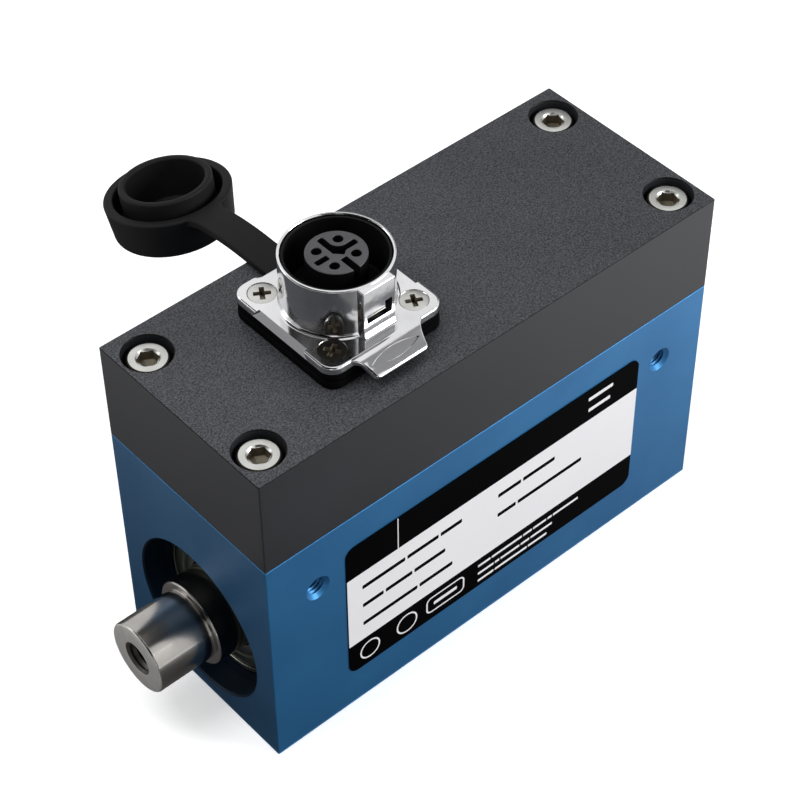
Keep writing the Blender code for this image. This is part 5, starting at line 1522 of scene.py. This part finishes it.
@dataclass
class Studio:
    """A white table under soft lamps, cards that only the metal sees, and the camera."""

    eye: Point = (-137.44, -155.58, 241.77)
    turn: Point = (44.119, 0.414, -41.283)
    lens: float = 104.54
    middle: Point = (0.0, 0.0, 30.0)
    sky: float = 0.52
    bounce: str = "#8E8E90"
    glow: float = 0.42
    table: float = 1500.0
    cloth_half: float = 170.0
    lamps: tuple[Lamp, ...] = (
        Lamp("key_softbox", (230.0, -300.0, 190.0), 200.0, 0.78),
        Lamp("top_softbox", (-110.0, 30.0, 235.0), 110.0, 0.44),
        Lamp("rear_softbox", (-360.0, 420.0, 260.0), 260.0, 0.10))
    cards: tuple[Card, ...] = (
        Card("card_left", (-420.0, -60.0, 120.0), 420.0, 300.0, "#0A0A0A", True),
        Card("card_left_rear", (-370.0, 215.0, 60.0), 260.0, 200.0, "#C4C4C6"),
        Card("card_front_left", (-230.0, -400.0, 60.0), 200.0, 260.0, "#0A0A0A"),
        Card("card_front_high", (170.0, -150.0, 330.0), 190.0, 190.0, "#E4E4E6"),
        Card("card_behind_camera", (-225.0, -255.0, 375.0), 420.0, 360.0, "#0A0A0A"),
        Card("card_left_high", (-112.0, 16.0, 188.0), 250.0, 170.0, "#0A0A0A"),
        Card("card_rear_right", (409.0, 276.0, 240.0), 400.0, 290.0, "#0A0A0A"))

    def camera(self) -> None:
        """The camera, from where the picture was taken."""
        made = placed("camera", bpy.data.cameras.new("camera"))
        made.location = [c * MM for c in self.eye]
        made.rotation_euler = [math.radians(a) for a in self.turn]
        made.data.lens, made.data.sensor_width = self.lens, 36.0
        made.data.clip_start, made.data.clip_end = 0.01, 20.0
        bpy.context.scene.camera = made

    def seen(self, tree: Tree) -> Socket:
        """One for what the camera sees straight, in metal or through glass, and nothing for spreading light.

        Args:
            tree: the node tree.

        Returns:
            The one or nothing.
        """
        ray = add_node(tree, "LightPath").outputs
        made = ray["Is Camera Ray"]
        for other in ("Is Glossy Ray", "Is Transmission Ray"):
            made = add_node(tree, "Math", {"operation": "MAXIMUM"}, {0: made, 1: ray[other]}).outputs[0]
        return made

    def world(self) -> None:
        """A grey sky to light the object, which the camera and the metal see as plain white."""
        made = bpy.data.worlds.new("studio_world")
        made.use_nodes = True
        tree = made.node_tree
        shade = mixed(tree, self.seen(tree), (self.sky,) * 3 + (1.0,), (1.0,) * 4)
        tree.links.new(shade.outputs[2], tree.nodes["Background"].inputs["Color"])
        bpy.context.scene.world = made

    def floor(self) -> None:
        """A round table, white with the object's shadow where it is seen, grey for the light it sends up."""
        finish = Finish("white_laminate", "", "#F2F2F2", "#EEEEEF", 0.6, pitch=3.0, depth=0.01, patch=400.0,
                        specular=0.0)
        look = finish.material()
        tree = look.node_tree
        shader, seen = tree.nodes["Principled BSDF"], self.seen(tree)
        white = shader.inputs["Base Color"].links[0].from_socket
        shade = add_node(tree, "Mix", {"data_type": "RGBA", 6: linear(self.bounce)}, {0: seen, 7: white})
        glow = add_node(tree, "Math", {"operation": "MULTIPLY", 1: self.glow}, {0: seen})
        tree.links.new(shade.outputs[2], shader.inputs["Base Color"])
        shader.inputs["Emission Color"].default_value = (1.0,) * 4
        tree.links.new(glow.outputs[0], shader.inputs["Emission Strength"])
        made = placed("table", bake(cylinder(self.table, -6.0, 0.0, 96), "table"))
        made.data.materials.append(look)

    def runner(self) -> None:
        """A glowing sheet round the object's foot that only the metal sees, a lamp seen only in reflections:
        its glow is painted dark at the left and bright at the right.

        At a place (x, y) it shows a(x) * b(y) + c(x) * d(y): a rises smoothly to the right, b towards the
        front, c from the object's left end outwards and d towards the rear.
        """
        look = bpy.data.materials.new("glowing_reflection_sheet")
        look.use_nodes = True
        tree = look.node_tree
        shader = tree.nodes["Principled BSDF"]
        apart = add_node(tree, "SeparateXYZ", links={0: add_node(tree, "TexCoord").outputs["Object"]}).outputs
        across = ramp(tree, apart["X"], (-0.04, 0.10), (0.14, 1.15), "SMOOTHSTEP")
        away = ramp(tree, apart["Y"], (-0.015, -0.06), (0.6, 1.25))
        behind = ramp(tree, apart["X"], (-0.040, -0.085), (0.0, 0.5))
        rear = ramp(tree, apart["Y"], (-0.01, 0.04), (0.3, 1.2))
        behind = add_node(tree, "Math", {"operation": "MULTIPLY"}, {0: behind, 1: rear}).outputs[0]
        parts = {0: across, 1: away, 2: behind}
        level = add_node(tree, "Math", {"operation": "MULTIPLY_ADD"}, parts).outputs[0]
        shader.inputs["Base Color"].default_value = (0.0, 0.0, 0.0, 1.0)
        shader.inputs["Specular IOR Level"].default_value = 0.0
        # The sheet glows: its emission is what the metal reflects.
        shader.inputs["Emission Color"].default_value = (1.0,) * 4
        tree.links.new(level, shader.inputs["Emission Strength"])
        self.sheet("reflected_runner", self.cloth_half, self.cloth_half, look, at(z=0.3))

    def sheet(self, name: str, half_x: float, half_y: float, look: bpy.types.Material, place: Matrix,
              flag: bool = False) -> None:
        """A flat sheet that no camera sees and that casts no shadow.

        Args:
            name: its name.
            half_x: half its width.
            half_y: half its height.
            look: its material.
            place: where it stands and how it is turned.
            flag: whether light that spreads sees it too.
        """
        corners = np.array([[-1, -1, 0], [1, -1, 0], [1, 1, 0], [-1, 1, 0]]) * np.array([half_x, half_y, 0])
        mesh = bpy.data.meshes.new(name)
        mesh.from_pydata((corners * MM).tolist(), [], [[0, 1, 2, 3]])
        mesh.materials.append(look)
        made = placed(name, mesh)
        made.matrix_world = place
        made.visible_camera = made.visible_shadow = False
        made.visible_diffuse = flag

    def facing(self, place: Point) -> Matrix:
        """A place and the turn that makes -Z look at the middle of the object.

        Args:
            place: the place in millimetres.

        Returns:
            Both, in metres.
        """
        away = at(*place).translation
        look = (at(*self.middle).translation - away).to_track_quat("-Z", "Y")
        return Matrix.Translation(away) @ look.to_matrix().to_4x4()

    def light(self, lamp: Lamp) -> None:
        """Put up a lamp, whose level takes a power of level * pi^2 * d^2 at the distance d.

        Args:
            lamp: the lamp.
        """
        distance = math.dist(lamp.place, self.middle) * MM
        data = bpy.data.lights.new(lamp.name, "AREA")
        data.shape, data.size, data.energy = "SQUARE", lamp.size * MM, lamp.level * (math.pi * distance) ** 2
        placed(lamp.name, data).matrix_world = self.facing(lamp.place)

    def hang(self, card: Card) -> None:
        """Hang a card so that it faces the object."""
        felt = Finish(f"felt_{card.tone[1:]}", "", card.tone, card.tone, 0.9, pitch=1.0, depth=0.1,
                      specular=0.0)
        place = self.facing(card.place)
        self.sheet(card.name, card.wide / 2, card.high / 2, felt.material(), place, card.flag)

    def build(self) -> None:
        """Everything that isn't the object."""
        bpy.context.scene.view_settings.view_transform = "Standard"
        self.camera()
        self.world()
        self.floor()
        self.runner()
        for lamp in self.lamps:
            self.light(lamp)
        for card in self.cards:
            self.hang(card)


def main() -> None:
    """Build every sub-assembly in order and report its pieces."""
    logging.basicConfig(level=logging.INFO, format="%(name)s: %(message)s")
    for part in (Housing(), CoverScrews(), ShaftAndBearings(), PanelSocket(), RubberParts(), Nameplate(),
                 InnerParts(), Studio()):
        part.build()
    bpy.context.view_layer.update()


if __name__ == "__main__":
    main()
